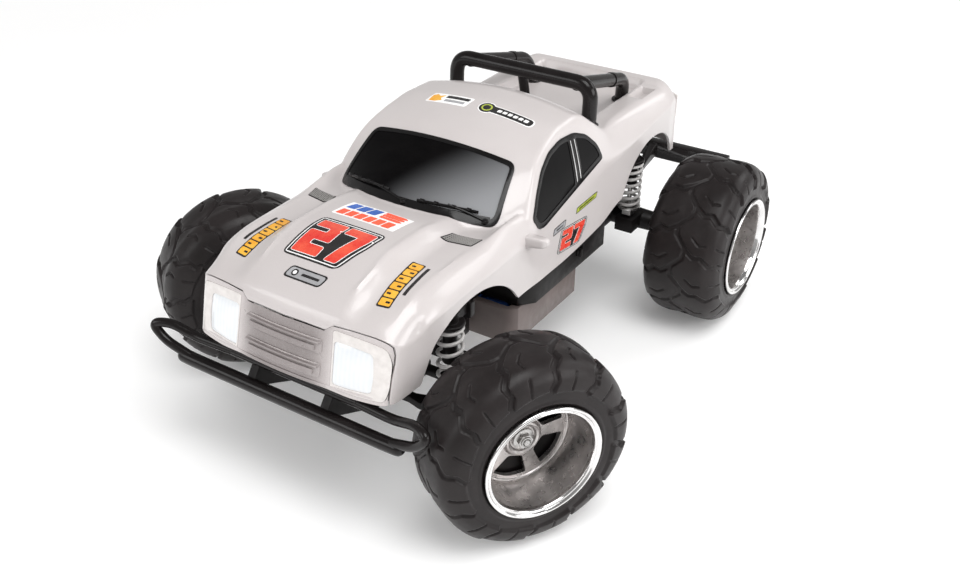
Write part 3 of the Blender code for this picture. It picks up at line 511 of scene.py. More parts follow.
def bevelled(piece, width, segments=2, angle=35):
    """Rounds the edges over an angle by a width in millimetres."""
    step = piece.modifiers.new("edges", "BEVEL")
    step.width = width * MM
    step.segments = segments
    step.limit_method = "ANGLE"
    step.angle_limit = math.radians(angle)


def evaluated(obj):
    """The object's mesh with its modifiers applied, as a new mesh."""
    graph = bpy.context.evaluated_depsgraph_get()
    graph.update()
    return bpy.data.meshes.new_from_object(obj.evaluated_get(graph))


def carved(mesh, tools, operation="DIFFERENCE"):
    """The mesh with each shape cut away, joined or kept as the shared part."""
    body = workpiece("carving", mesh)
    helpers = []
    for tool in tools:
        helper = workpiece("carving_tool", mesh_of("carving_tool", *tool))
        step = body.modifiers.new("step", "BOOLEAN")
        step.operation = operation
        step.solver = "MANIFOLD"
        step.object = helper
        helpers.append(helper)
    result = evaluated(body)
    for obj in [*helpers, body]:
        bpy.data.objects.remove(obj, do_unlink=True)
    result.materials.clear()
    return result


def softened(name, width, look):
    """A CAD node kept as it is, with welded, rounded edges and a better finish."""
    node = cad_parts[name]
    weld = node.modifiers.new("weld", "WELD")
    weld.merge_threshold = 0.00001
    bevelled(node, width, angle=40)
    node.data.shade_smooth()
    node.data.materials.clear()
    node.data.materials.append(LOOKS[look])


# ---------------------------------------------------------------- body form

def monotone(table, step=0.25):
    """Smooth curve through (position, height) points that never overshoots them."""
    x, y = np.array(table, float).T
    gap = np.diff(x)
    slope = np.diff(y) / gap
    tangent = np.zeros_like(x)
    tangent[0], tangent[-1] = slope[0], slope[-1]
    for i in range(1, len(x) - 1):
        if slope[i - 1] * slope[i] > 0:
            a, b = 2 * gap[i] + gap[i - 1], gap[i] + 2 * gap[i - 1]
            tangent[i] = (a + b) / (a / slope[i - 1] + b / slope[i])
    dense = np.arange(x[0], x[-1] + step, step)
    i = np.clip(np.searchsorted(x, dense) - 1, 0, len(gap) - 1)
    t = np.clip((dense - x[i]) / gap[i], 0, 1)
    height = ((1 + 2 * t) * (1 - t) ** 2 * y[i] + t * (1 - t) ** 2 * gap[i] * tangent[i]
              + t * t * (3 - 2 * t) * y[i + 1] + t * t * (t - 1) * gap[i] * tangent[i + 1])
    return lambda at: np.interp(at, dense, height)


# Heights and the half width of the body along its length, as (y, value)
HOOD_MIDDLE = monotone([(-198, 124), (-195, 129.5), (-188, 134), (-178, 138.5), (-167, 142.5),
                        (-155, 146.5), (-143, 148.5), (-120, 148.5), (-96, 146), (-70, 143)])
HOOD_SIDE = monotone([(-198, 124.5), (-194, 127.5), (-182, 132), (-172, 135.5), (-160, 138.5),
                      (-140, 140), (-100, 140), (-80, 138), (-60, 138)])
ROOF_MIDDLE = monotone([(-46, 170.5), (-36, 176), (-20, 181), (0, 184), (18, 184), (28, 182), (40, 174.5),
                        (52, 167), (66, 158), (78, 149), (90, 140)])
HALF_WIDTH = monotone([(-198, 71.5), (-186, 73), (-170, 75), (-150, 76), (-100, 76), (-60, 74.5),
                       (-30, 73), (20, 71.5), (80, 70.5), (150, 70), (171, 67)])
EDGE_HEIGHT = monotone([(-198, 119), (-186, 122), (-170, 125.5), (-150, 127), (-110, 128), (-75, 129),
                        (40, 134), (80, 137), (120, 141), (160, 144.5), (171, 145)])
SIDE_RISE = monotone([(-198, 8.5), (-150, 15), (-110, 16), (-80, 22), (-62, 36), (-45, 44), (35, 41),
                      (60, 26), (80, 20), (120, 16), (171, 12.5)])
LOWER_EDGE = monotone([(-198, 88.5), (-184, 89.5), (-74, 95), (-40, 92), (-6, 90.5), (41, 92.5), (71, 99),
                       (150, 103), (171, 104)])
BED_FLOOR = 148.0
BED_RAIL = 155.5
TAIL_TOP = 157.0
FRONT_ARCH = (FRONT_AXLE_Y, 59.5, 63.0)
REAR_ARCH = (122.0, 80.0, 50.0)


def smooth_step(value, low, high):
    """Eased share from 0 at low to 1 at high."""
    t = np.clip((value - low) / (high - low), 0.0, 1.0)
    return t * t * (3 - 2 * t)


def soft_min(a, b, reach):
    h = np.maximum(reach - np.abs(a - b), 0.0) / reach
    return np.minimum(a, b) - h * h * reach / 4


def soft_max(a, b, reach):
    return -soft_min(-a, -b, reach)


def windscreen_foot(x):
    return -96 + 21 * (x / 60) ** 2


def windscreen_head(x):
    return -45 + 2 * (x / 53) ** 2


def swell(x, middle, width, rise):
    """A rounded rise across x, about a middle."""
    return rise * np.exp(-((x - middle) / width) ** 2)


def hood_height(x, y):
    middle = HOOD_MIDDLE(y) - 0.8 * (x / 34.0) ** 2
    side = HOOD_SIDE(y)
    ridge = swell(x, 67, 5, 6.0) * smooth_step(y, -105, -78)
    crease = swell(x, 33.5, 1.1, 0.8) * smooth_step(y, -188, -172) * (1 - smooth_step(y, -112, -98))
    fender = swell(x, 62.5, 1.2, 0.5) * smooth_step(y, -190, -176) * (1 - smooth_step(y, -118, -104))
    return middle + (side - middle) * smooth_step(x, 33, 47) + ridge + crease + fender


def cabin_height(x, y):
    foot = windscreen_foot(x)
    head = windscreen_head(x)
    crown = 6.5 * (x / 55) ** 2
    roof = ROOF_MIDDLE(np.maximum(y, head)) - crown
    low = 146 - 9.3 * (x / 60) ** 2
    high = ROOF_MIDDLE(head) - crown
    t = (y - foot) / (head - foot)
    glass = low + (high - low) * t + 5 * t * (1 - t)
    return np.where(y >= head, roof, glass)


def bed_height(x, y):
    floor = BED_FLOOR + (BED_RAIL - BED_FLOOR) * smooth_step(x, 40, 44)
    pocket = smooth_step(x, 46.5, 48) * (1 - smooth_step(x, 56, 57.5)) * smooth_step(y, 124, 127)
    floor = floor - 5.5 * pocket * (1 - smooth_step(y, 146, 149))
    return floor + (TAIL_TOP - floor) * smooth_step(y, 154.5, 158)


def top_height(x, y):
    """Height of the body's outer face over the point (x, y)."""
    x = np.abs(np.asarray(x, float))
    y = np.asarray(y, float)
    front = soft_max(hood_height(x, y), cabin_height(x, y), 1.5)
    back = soft_max(bed_height(x, y), cabin_height(x, y), 4.0)
    top = np.where(y < 30, front, back)
    inset = np.maximum(HALF_WIDTH(y) - x, 0.0)
    rim = EDGE_HEIGHT(y) + SIDE_RISE(y) * (inset / 13) ** 0.75
    return soft_min(top, rim, 4.0)


def lower_edge(y):
    """Height of the body's lower edge, raised over the wheels."""
    y = np.asarray(y, float)
    edge = LOWER_EDGE(y)
    for centre, height, radius in (FRONT_ARCH, REAR_ARCH):
        arch = height + np.sqrt(np.maximum(radius ** 2 - (y - centre) ** 2, 0))
        edge = np.where(np.abs(y - centre) < radius, np.maximum(edge, arch), edge)
    return edge


NOSE_HALF = 71.5
NOSE_FLAT = 63.5
NOSE_CORNER = 8.0
NOSE_LEAN = 8.0


def nose_sweep(x, y):
    """How far back a point lies because the nose is round in plan."""
    x = np.abs(x)
    turn = np.clip(x - NOSE_FLAT, 0, NOSE_CORNER)
    corner = NOSE_CORNER - np.sqrt(np.maximum(NOSE_CORNER ** 2 - turn ** 2, 0.0))
    sweep = 6.5 * (x / 64) ** 2 + corner
    return sweep * (1 - smooth_step(y, NOSE_Y, -160))


def tail_sweep(x, y):
    return -3.5 * (np.abs(x) / HALF_WIDTH(y)) ** 6 * smooth_step(y, 140, TAIL_Y)


def side_x(y, z):
    """Half width of the body's outer face at (y, z), halved in on where it is above the beltline."""
    low = np.zeros_like(z, float)
    high = HALF_WIDTH(y)
    for _ in range(30):
        middle = (low + high) / 2
        inside = top_height(middle, y) > z
        low = np.where(inside, middle, low)
        high = np.where(inside, high, middle)
    return np.where(z <= EDGE_HEIGHT(y), HALF_WIDTH(y), low)


def nose_low(x):
    x = np.abs(x)
    return 89.0 - 1.8 * smooth_step(x, 28, 50) + 1.3 * (x / NOSE_HALF) ** 12


def nose_point(x, z, out=0.0):
    """Point on the front face at a given x and height, pushed out by some millimetres."""
    x = np.asarray(x, float)
    top = top_height(np.minimum(np.abs(x), NOSE_HALF), NOSE_Y)
    part = (z - nose_low(x)) / (top - nose_low(x))
    y = NOSE_Y + nose_sweep(x, NOSE_Y) - NOSE_LEAN * (1 - part)
    away = np.clip(np.abs(x) - NOSE_FLAT, 0, NOSE_CORNER) / NOSE_CORNER
    along = -np.sqrt(np.maximum(1 - away ** 2, 0.0)) * out
    return np.stack([x + np.sign(x) * away * out, y + along, z + 0 * x], axis=-1)


def off_skin(at, a, b, out, reach, turn=1):
    """Point of a mapped surface pushed out along its normal, which is read over a short reach."""
    a, b = np.asarray(a, float), np.asarray(b, float)
    across = at(a + reach, b) - at(a - reach, b)
    normal = unit(np.cross(across, at(a, b + reach) - at(a, b - reach)) * turn)
    return at(a, b) + normal * np.asarray(out)[..., None]


def upper_skin(x, y):
    return np.stack([x, y + nose_sweep(x, y) + tail_sweep(x, y), top_height(x, y)], axis=-1)


def top_point(x, y, out=0.0):
    """Point on the upper skin over (x, y), pushed out along the skin's normal."""
    return off_skin(upper_skin, x, y, out, 0.2)


def side_point(side):
    """Maps (y, z) to the body's side, left for 1 and right for -1, and pushes out like top_point."""
    def at(y, z):
        return np.stack([side_x(y, z) * side, y, z], axis=-1)

    def point(y, z, out=0.0):
        return off_skin(at, y, z, out, 0.3, side)
    return point


def both_sides(rows):
    """Rows of points from the middle outwards, with their mirror images put before them."""
    rows = np.array(rows)
    return np.concatenate([rows[:, :0:-1] * (-1, 1, 1), rows], axis=1)


def body_skin():
    """Open skin of the whole shell, nose and tail walls included."""
    shares = np.concatenate([np.linspace(0, 0.84, 42), np.linspace(0.84, 1.0, 17)[1:]])
    parts = np.linspace(1, 0, 15)[1:]
    nose = []
    x = HALF_WIDTH(NOSE_Y) * shares
    for part in np.linspace(0, 1, 19)[:-1]:
        z = nose_low(x) + (top_height(x, NOSE_Y) - nose_low(x)) * part
        y = NOSE_Y + nose_sweep(x, NOSE_Y) - NOSE_LEAN * (1 - part)
        nose.append(np.stack([x, y, z], axis=-1))
    stations = np.concatenate([np.arange(NOSE_Y, -190, 1.0), np.arange(-190, TAIL_Y, 1.7), [TAIL_Y]])
    tail = [(1.2, 0.985), (2.0, 0.93), (2.7, 0.84), (3.3, 0.7), (3.8, 0.55), (4.3, 0.36), (5.0, 0.1)]
    shell = []
    for y, back, share in [(y, 0.0, 1.0) for y in stations] + [(TAIL_Y, b, s) for b, s in tail]:
        half = HALF_WIDTH(y)
        low = lower_edge(y)
        wall_z = low + (top_height(half, y) - low) * parts
        lean = -NOSE_LEAN * (1 - parts) * (1 - smooth_step(y, NOSE_Y, -172))
        all_x = np.concatenate([half * shares, np.full(len(parts), half)])
        all_z = np.concatenate([top_height(half * shares, y), wall_z])
        all_y = np.concatenate([np.full(len(shares), y), y + lean])
        all_y = all_y + nose_sweep(all_x, y) + tail_sweep(all_x, y) + back
        shell.append(np.stack([all_x, all_y, low + (all_z - low) * share], axis=-1))
    shell = both_sides(shell)
    front = np.concatenate([both_sides(nose), shell[:1, len(parts):-len(parts)]])
    return joined([(rows.reshape(-1, 3), grid_faces(*rows.shape[:2])) for rows in (shell, front)])


# The joint between hood and nose panel on the left half, cut by planes through an inner apex
SEAM = [(71, -200, 60), (70.4, -198, 92), (70.4, -195, 104), (70.2, -192, 112), (69.4, -190.2, 117),
        (67.4, -189.6, 120.4), (64.2, -190.6, 122.2), (58, -191.6, 123.4), (46, -194, 125.2),
        (33.5, -197, 127.0), (28.5, -199, 123.6), (14, -199.5, 123.6), (0, -200, 123.6)]
SEAM_APEX = (0.0, -150.0, 60.0)


def seam_volume(gap):
    """Region in front of the seam between hood and nose panel, drawn in by the gap."""
    inner = []
    for x, y, z in SEAM:
        pull = np.array((x, 0, z - 100)) / math.hypot(x, z - 100)
        inner.append(np.array((x, y, z)) - pull * gap + np.array((0, -gap, 0)))
    line = inner + [p * (-1, 1, 1) for p in reversed(inner[:-1])]
    apex = np.array(SEAM_APEX)
    out = [apex + 1.25 * (p - apex) for p in line]
    front = [np.array((p[0], -280.0, p[2])) for p in out]
    n = len(line)
    faces = [(0, 1 + i, 1 + (i + 1) % n) for i in range(n)]
    faces += [(1 + i, 1 + n + i, 1 + n + (i + 1) % n, 1 + (i + 1) % n) for i in range(n)]
    return [apex, *out, *front], [*faces, tuple(range(1 + n, 1 + 2 * n))]


def prism(outline, axis, low, high):
    """Outline extruded along an axis: (y, z) along X, (x, z) along Y, (x, y) along Z."""
    outline = np.asarray(outline, float)
    n = len(outline)
    level = [np.concatenate([outline, np.full((n, 1), h)], axis=1) for h in (low, high)]
    points = np.concatenate(level)[:, {"X": (2, 0, 1), "Y": (0, 2, 1), "Z": (0, 1, 2)}[axis]]
    faces = [(i, (i + 1) % n, n + (i + 1) % n, n + i) for i in range(n)]
    return points, faces + [tuple(range(n))[::-1], tuple(range(n, 2 * n))]


def soft_outline(corners, radius, steps=6):
    """Closed flat outline with its corners rounded by one radius, or by one each."""
    corners = [np.array(c, float) for c in corners]
    outline = []
    for i, corner in enumerate(corners):
        before, after = corners[i - 1] - corner, corners[(i + 1) % len(corners)] - corner
        r = radius[i] if isinstance(radius, (list, tuple)) else radius
        reach = min(r, np.linalg.norm(before) * 0.48, np.linalg.norm(after) * 0.48)
        outline += bend(corner + unit(before) * reach, corner, corner + unit(after) * reach, steps)
    return dense_outline(np.array(outline), 2.0)


def dense_outline(outline, step):
    """The outline with long sides split into steps."""
    found = []
    for a, b in zip(outline, np.roll(outline, -1, 0)):
        count = max(int(np.linalg.norm(b - a) / step), 1)
        found += [a + (b - a) * k / count for k in range(count)]
    found = np.array(found)
    return found[np.linalg.norm(found - np.roll(found, 1, 0), axis=1) > 1e-4]


def grown(outline, distance):
    """Flat outline moved outwards by a distance."""
    outline = np.asarray(outline, float)
    forward = unit(np.roll(outline, -1, 0) - np.roll(outline, 1, 0))
    x, y = outline.T
    area = (x * np.roll(y, -1) - np.roll(x, -1) * y).sum()
    normal = np.stack([forward[:, 1], -forward[:, 0]], axis=1) * (1 if area > 0 else -1)
    return outline + normal * distance


def inside_of(points, outline):
    """Which flat points lie inside the outline."""
    inside = np.zeros(len(points), bool)
    for (ax, ay), (bx, by) in zip(outline, np.roll(outline, -1, 0)):
        crosses = (ay > points[:, 1]) != (by > points[:, 1])
        if by != ay:
            at = ax + (points[:, 1] - ay) * (bx - ax) / (by - ay)
            inside ^= crosses & (points[:, 0] < at)
    return inside


def filled(outline, holes, step):
    """Triangles filling a flat outline, with its edges kept and points inside on a grid."""
    loops = [np.asarray(loop, float) for loop in (outline, *holes)]
    points, edges = [], []
    for loop in loops:
        start = len(points)
        points += [Vector(p) for p in loop]
        edges += [(start + i, start + (i + 1) % len(loop)) for i in range(len(loop))]
    low, high = loops[0].min(0), loops[0].max(0)
    border = np.concatenate([dense_outline(loop, step * 0.5) for loop in loops])
    for a in np.arange(low[0] + step / 2, high[0], step):
        for b in np.arange(low[1] + step / 2, high[1], step):
            if np.min(np.abs(border - (a, b)).max(1)) > step * 0.45:
                points.append(Vector((a, b)))
    found = delaunay_2d_cdt(points, edges, [], 0, 1e-5)
    flat = np.array([tuple(p) for p in found[0]])
    centres = np.array([flat[list(f)].mean(0) for f in found[2]])
    keep = inside_of(centres, loops[0])
    for hole in loops[1:]:
        keep &= ~inside_of(centres, hole)
    return flat, [tuple(face) for face, kept in zip(found[2], keep) if kept]


def draped(outline, on, low, high, holes=(), step=2.0, dome=0.0):
    """Closed plate that follows a mapped surface, from low to high above it."""
    flat, triangles = filled(outline, holes, step)
    a, b = flat.T
    rise = np.zeros(len(a))
    if dome:
        edge = np.concatenate([dense_outline(np.asarray(o, float), 1.0) for o in (outline, *holes)])
        reach = np.min(np.linalg.norm(flat[:, None] - edge[None], axis=2), axis=1)
        rise = dome * (1 - np.exp(-reach / 3.5))
    top = on(a, b, high + rise)
    base = on(a, b, np.full(len(a), float(low)))
    n = len(flat)
    faces = [list(t) for t in triangles] + [[i + n for i in reversed(t)] for t in triangles]
    used = dict.fromkeys((i, j) for t in triangles for i, j in zip(t, t[1:] + t[:1]))
    faces += [[j, i, i + n, j + n] for i, j in used if (j, i) not in used]
    return np.concatenate([top, base]), faces


# ---------------------------------------------------------------- body, nose and windows

def curve_outline(half_low, half_high, low_edge, high_edge, corner):
    """Closed plan outline between two cross curves, with rounded corners."""
    shares = np.linspace(-1, 1, 11)
    points = [(half_low * s, low_edge(half_low * s)) for s in shares]
    points += [(half_high * s, high_edge(half_high * s)) for s in shares[::-1]]
    return soft_outline(points, [corner if i in (0, 10, 11, 21) else 0.6 for i in range(22)])


WINDSCREEN = curve_outline(58.5, 52.5, lambda x: windscreen_foot(x) + 1,
                           lambda x: windscreen_head(x) - 1, 6.0)
SIDE_WINDOW = soft_outline([(-55, 139), (-50.5, 131.5), (-43, 130), (0, 137), (40.5, 143.6), (37, 153),
                            (26, 163), (12, 168.5), (-6, 170), (-22, 167.5), (-35, 161), (-46, 151)],
                           [2, 2, 3, 1, 2.2, 4, 4, 4, 4, 4, 4, 4])
FRONT_PANE = soft_outline([(-52, 139.4), (-48.8, 134.2), (-42.5, 132.9), (0.5, 139.8), (3.0, 166.8),
                           (-6, 167.6), (-21.4, 165.2), (-33.6, 159.1), (-44.2, 149.6)],
                          [1.5, 2, 3, 1.5, 1.5, 4, 4, 4, 4])
REAR_PANE = soft_outline([(11.2, 141.6), (37.4, 145.9), (34.8, 152.2), (24.8, 161.2), (13.0, 165.6)],
                         [1.5, 1.5, 3, 4, 1.5])
PANES = (FRONT_PANE, REAR_PANE)
LAMP_UNIT = soft_outline([(32.6, 123.2), (46, 122.6), (58, 121.3), (65.4, 119.8), (68.4, 112), (68.2, 96),
                          (66.6, 89.3), (50, 88.9), (33.6, 90.2)], [2.2, 4, 4, 3.4, 4, 3, 3, 4, 2.2])
LAMP_LENS = soft_outline([(34.2, 116.8), (46, 116.4), (57.6, 115.0), (59.0, 103), (58.2, 92.6), (46, 92.0),
                          (34.8, 92.4)], [2.4, 5, 2.8, 5, 2.6, 5, 2.2])
NOSE_BARS = ((107.4, 115.8), (93.6, 102.0))
HOOD_VENT = np.array([(41.5, -109), (60.5, -105.5), (62.5, -95.5), (43.5, -98.5)])
WIPER_BLADE = [(-0.45, -0.9), (0.45, -0.9), (0.65, 0.1), (0.3, 0.8), (-0.3, 0.8), (-0.65, 0.1)]
UP = (0, 0, 1)


def band(half, low, high):
    """Rectangle as wide on both sides of the middle, from low to high."""
    return [(-half, low), (half, low), (half, high), (-half, high)]


def mirror_arm(side):
    """Door mirror: a rounded wedge that grows out of the body's side."""
    shape = soft_outline([(-5.2, -3.8), (5.2, -4.6), (5.4, 3.4), (-4.4, 4.6)], 2.6, 5)
    loops = []
    for t, x in zip(np.linspace(0, 1, 15), np.linspace(66, 86.5, 15)):
        end = math.sqrt(max(1 - max((t - 0.86) / 0.14, 0) ** 2 * 0.8, 0.05))
        ring = shape * (1.0 - 0.26 * t) * end + (-65.5 + 5 * t, 129.4 - 0.2 * t)
        loops += [(x * side, y, z) for y, z in ring]
    return loops, tube_faces(15, len(shape))


SHELL_WALL = 1.7
SEAM_GAP = 0.35


def finished(mesh):
    """A carved body part with its slivers welded and its many-sided faces split."""
    return cleaned(mesh, 32, drop_slivers, split_faces)


def build_shell():
    skin = workpiece("skin", mesh_of("skin", *body_skin()))
    wall = skin.modifiers.new("wall", "SOLIDIFY")
    wall.thickness = SHELL_WALL * MM
    wall.offset = -1.0
    wall.use_even_offset = False
    solid_skin = evaluated(skin)
    bpy.data.objects.remove(skin, do_unlink=True)
    openings = [prism(WINDSCREEN, "Z", 100, 215)]
    openings += [prism(SIDE_WINDOW, "X", *span) for span in ((45, 95), (-95, -45))]
    body = carved(solid_skin.copy(), [seam_volume(-SEAM_GAP), *openings])
    body = carved(body, [mirror_arm(side) for side, _ in SIDES], "UNION")
    place("pickup_shell", finished(body), "paint", replaced="body_shell")
    nose = carved(solid_skin, [seam_volume(SEAM_GAP)], "INTERSECT")
    nose = carved(nose, [prism(LAMP_UNIT * (side, 1), "Y", -222, -176) for side, _ in SIDES])
    place("nose_panel", finished(nose), "nose", replaced="front_fascia")


def wiper(low, high, lift, pivot_x, pivot_lift):
    """Blade, clips, arm and pivot of a wiper whose blade reaches from x low to high."""
    span = np.linspace(low, high, 22)
    line = top_point(span, windscreen_foot(span) + lift + np.sin((span - low) / (high - low) * 2), 1.5)
    parts = [swept(line, WIPER_BLADE, UP)]
    for share in (0.12, 0.38, 0.62, 0.88):
        at = line[int(share * 21)]
        parts.append(rod([at + (-1.3, 0, 0.5), at + (1.3, 0, 0.5)], 1.05, 8, UP))
    base, middle = top_point(pivot_x, windscreen_foot(pivot_x) + pivot_lift, 1.2), line[11]
    arm = rounded([base, (base + middle) / 2 + (0, 0, 1.2), middle + (0, 0, 1.0)], 8, 8)
    pivot = turned([(0, 0), (0, 2.1), (1.4, 1.9), (1.9, 1.2), (2.0, 0)], 20, "Z")
    return [*parts, rod(arm, 0.75, 10), moved(pivot, base - (0, 0, 0.6))]


def build_windows():
    pane = grown(WINDSCREEN, -2.3)
    build("windscreen_pane", draped(pane, top_point, -1.5, 0.1, step=2.5), "screen", replaced="windscreen")
    rim = draped(grown(WINDSCREEN, 0.7), top_point, -1.3, 0.5, [pane], 1.2, 0.5)
    build("windscreen_surround", rim, "trim", sharp=50)
    foot = [(58 * s, windscreen_foot(58 * s)) for s in np.linspace(-0.93, 0.93, 15)]
    cowl = soft_outline([(x, y + 1.0) for x, y in foot] + [(x, y + 5.2) for x, y in foot[::-1]], 0.8)
    build("wiper_cowl", draped(cowl, top_point, -1.0, 0.7, step=1.5, dome=0.3), "trim", sharp=50)
    build("wipers", joined(wiper(-50, -9, 6.2, 4, 3.2) + wiper(12, 47, 5.6, 52, 2.8)), "trim")
    for side, word in SIDES:
        on = side_point(side)
        rim = draped(grown(SIDE_WINDOW, 0.7), on, -1.2, 0.45, PANES, 1.2, 0.35)
        build(f"side_window_surround_{word}", rim, "trim", sharp=50)
        panes = joined([draped(grown(p, 0.25), on, -1.3, 0.05, step=2.5) for p in PANES])
        build(f"side_panes_{word}", panes, "window", replaced=f"side_window_{word}")
        lines = []
        for (y, z), (high_y, high_z) in (((2.6, 140.6), (4.9, 166.4)), ((7.6, 141.4), (9.8, 165.8))):
            corners = [(y - 0.45, z), (y + 0.45, z), (high_y + 0.45, high_z), (high_y - 0.45, high_z)]
            lines.append(draped(soft_outline(corners, 0.3, 3), on, 0.1, 1.15, step=1.0))
        build(f"pillar_lines_{word}", joined(lines), "chrome")


def build_nose():
    bars, edges = [], []
    for low, high in NOSE_BARS:
        bar = soft_outline(band(27, low, high), 2.8)
        bars.append(draped(bar, nose_point, -0.5, 0.5, step=1.2, dome=1.7))
        inner = soft_outline(band(23.5, low + 2.2, high - 3.2), 0.8)
        bars.append(draped(inner, nose_point, 0.0, 2.6, step=1.0))
        line = soft_outline(band(26, high - 1.6, high - 0.7), 0.4, 3)
        edges.append(draped(line, nose_point, 0.8, 2.5, step=1.0))
    edges.append(draped(soft_outline(band(60, 90.3, 91.2), 0.4, 3), nose_point, -0.3, 0.5, step=1.5))
    build("nose_bars", joined(bars), "nose", sharp=40)
    build("nose_edges", joined(edges), "nose")
    for side, word in SIDES:
        unit_edge, lens = LAMP_UNIT * (side, 1), LAMP_LENS * (side, 1)
        bezel = draped(grown(unit_edge, -0.35), nose_point, -2.0, 0.1, [grown(lens, 0.2)], 1.5, 0.7)
        build(f"lamp_bezel_{word}", bezel, "milky", sharp=50)
        glass = draped(lens, nose_point, -2.2, -0.5, step=1.5, dome=1.7)
        build(f"lamp_glass_{word}", glass, "glow", replaced=f"headlight_{word}", sharp=50)


def build_vents():
    for side, word in SIDES:
        near, far, far_back, near_back = outline = HOOD_VENT * (side, 1)
        plate = draped(soft_outline(outline, 0.8), top_point, -0.4, 0.25, step=1.5)
        build(f"hood_vent_{word}", plate, "black", slot="belly_grey")
        ribs = []
        for edges, shares, margin, points, radius, lift in (
                ((near, far, near_back, far_back), np.linspace(0.06, 0.94, 13), 0.06, 9, 0.38, 0.3),
                ((near, near_back, far, far_back), np.linspace(0.12, 0.88, 6), 0.03, 14, 0.3, 0.25)):
            for share in shares:
                a = edges[0] + (edges[1] - edges[0]) * share
                b = edges[2] + (edges[3] - edges[2]) * share
                line = np.linspace(a + (b - a) * margin, b - (b - a) * margin, points)
                ribs.append(rod(top_point(*line.T, lift), radius, 6, UP))
        build(f"vent_mesh_{word}", joined(ribs), "grey")


# ---------------------------------------------------------------- wheels

TREAD_RADIUS = 60.0
PITCH = math.tau * TREAD_RADIUS / 12

# Grooves of one pitch, as (along the ground, across from the middle)
ZIGZAG = [(-1.2, -4.4), (5.6, -3.6), (14.4, 4.4), (21.4, 3.6), (30.2, -4.4)]
RIB_GAP = [(14.6, 4.2), (19.6, 11.0), (18.4, 16.5), (24.2, 22.5), (23.2, 28.5), (27.4, 33.0), (27.0, 38.0)]
SHORT_SLITS = ([(9.4, 25.0), (11.6, 33.6)], [(5.4, 8.0), (9.8, 13.6), (8.8, 18.0)])


def line_distance(x, y, line):
    """Distance to a flat open line."""
    best = np.full(np.shape(x), 1e9)
    for (ax, ay), (bx, by) in zip(line, line[1:]):
        ex, ey = bx - ax, by - ay
        t = np.clip(((x - ax) * ex + (y - ay) * ey) / (ex * ex + ey * ey), 0, 1)
        best = np.minimum(best, np.hypot(x - ax - ex * t, y - ay - ey * t))
    return best


def lug_height(s, w):
    """Height of the tread plates, s along the ground and w across from the middle."""
    gap_at = np.array(RIB_GAP)
    level, cut = np.zeros(np.shape(s)), np.zeros(np.shape(s))
    for mirror, shift in ((1, 0.0), (-1, 0.5)):
        here = w * mirror
        along = s + shift * PITCH
        start = np.interp(here, gap_at[:, 1], gap_at[:, 0])
        slope = np.mod(along - start, PITCH) / PITCH
        plate = 1.15 + 1.05 * slope * smooth_step(here, 2, 12)
        plate = plate * (1 - smooth_step(here, 33.2 + 1.6 * slope, 34.6 + 1.6 * slope))
        level = np.where(here >= 0, plate, level)
        for turn in (-1, 0, 1):
            local = np.mod(along, PITCH) + turn * PITCH
            for line, half, depth in ((ZIGZAG, 1.15, 1.0), (RIB_GAP, 1.45, 1.0),
                                      *((slit, 0.4, 0.6) for slit in SHORT_SLITS)):
                away = line_distance(local, here, line)
                cut = np.maximum(cut, depth * (1 - smooth_step(away, half, half + 0.55)))
    return level * (1 - cut)


def build_tyre(name, body, transform, inboard, replaced):
    """Tyre as a profile turned about the axle, with its tread plates and side rings raised from it."""
    around, count = 640, 76
    half = [(0, 58.0), (8, 57.95), (14, 57.7), (19.5, 57.0), (23.0, 55.0), (25.6, 51.6), (27.0, 48.0),
            (27.9, 44.6), (28.2, 41.6), (28.1, 38.8), (28.5, 37.1), (27.6, 35.7), (25.8, 34.7)]
    path = np.array(smooth_profile(half, 2.2, 4))
    length = np.concatenate([[0], np.cumsum(np.linalg.norm(np.diff(path, axis=0), axis=1))])
    at = np.linspace(0, length[-1], count)
    path = np.stack([np.interp(at, length, path[:, k]) for k in range(2)], axis=1)
    profile = np.concatenate([path[:0:-1] * (-1, 1), path])
    forward = np.gradient(profile, axis=0)
    normal = unit(np.stack([-forward[:, 1], forward[:, 0]], axis=1))
    angle = turns(around)
    s, across = np.meshgrid(angle * TREAD_RADIUS, np.concatenate([-at[:0:-1], at]), indexing="ij")
    rise = lug_height(s, across)
    for middle, height, flat, edge in ((41.5, 0.35, 0.4, 1.2), (45.5, 0.3, 0.3, 0.9)):
        rise += height * (1 - smooth_step(np.abs(np.abs(across) - middle), flat, edge))
    along = profile[None, :, 0] + normal[None, :, 0] * rise
    radius = profile[None, :, 1] + normal[None, :, 1] * rise
    radius = radius - (1 - inboard) * 14 * smooth_step(-along, 6, 28) * smooth_step(radius, 44, 54)
    along = np.where(along < 0, along * inboard, along)
    inner = np.array([(25.2, 34.3), (18, 36.0), (-18 * inboard, 36.0), (-25.2 * inboard, 34.3)])
    along = np.concatenate([along, np.broadcast_to(inner[:, 0], (around, 4))], axis=1)
    radius = np.concatenate([radius, np.broadcast_to(inner[:, 1], (around, 4))], axis=1)
    points = np.stack([along, radius * np.cos(angle)[:, None], radius * np.sin(angle)[:, None]], axis=-1)
    shape = points.reshape(-1, 3), grid_faces(around, along.shape[1], True, True)
    build(name, shape, "rubber", body, replaced, sharp=70, transform=transform)


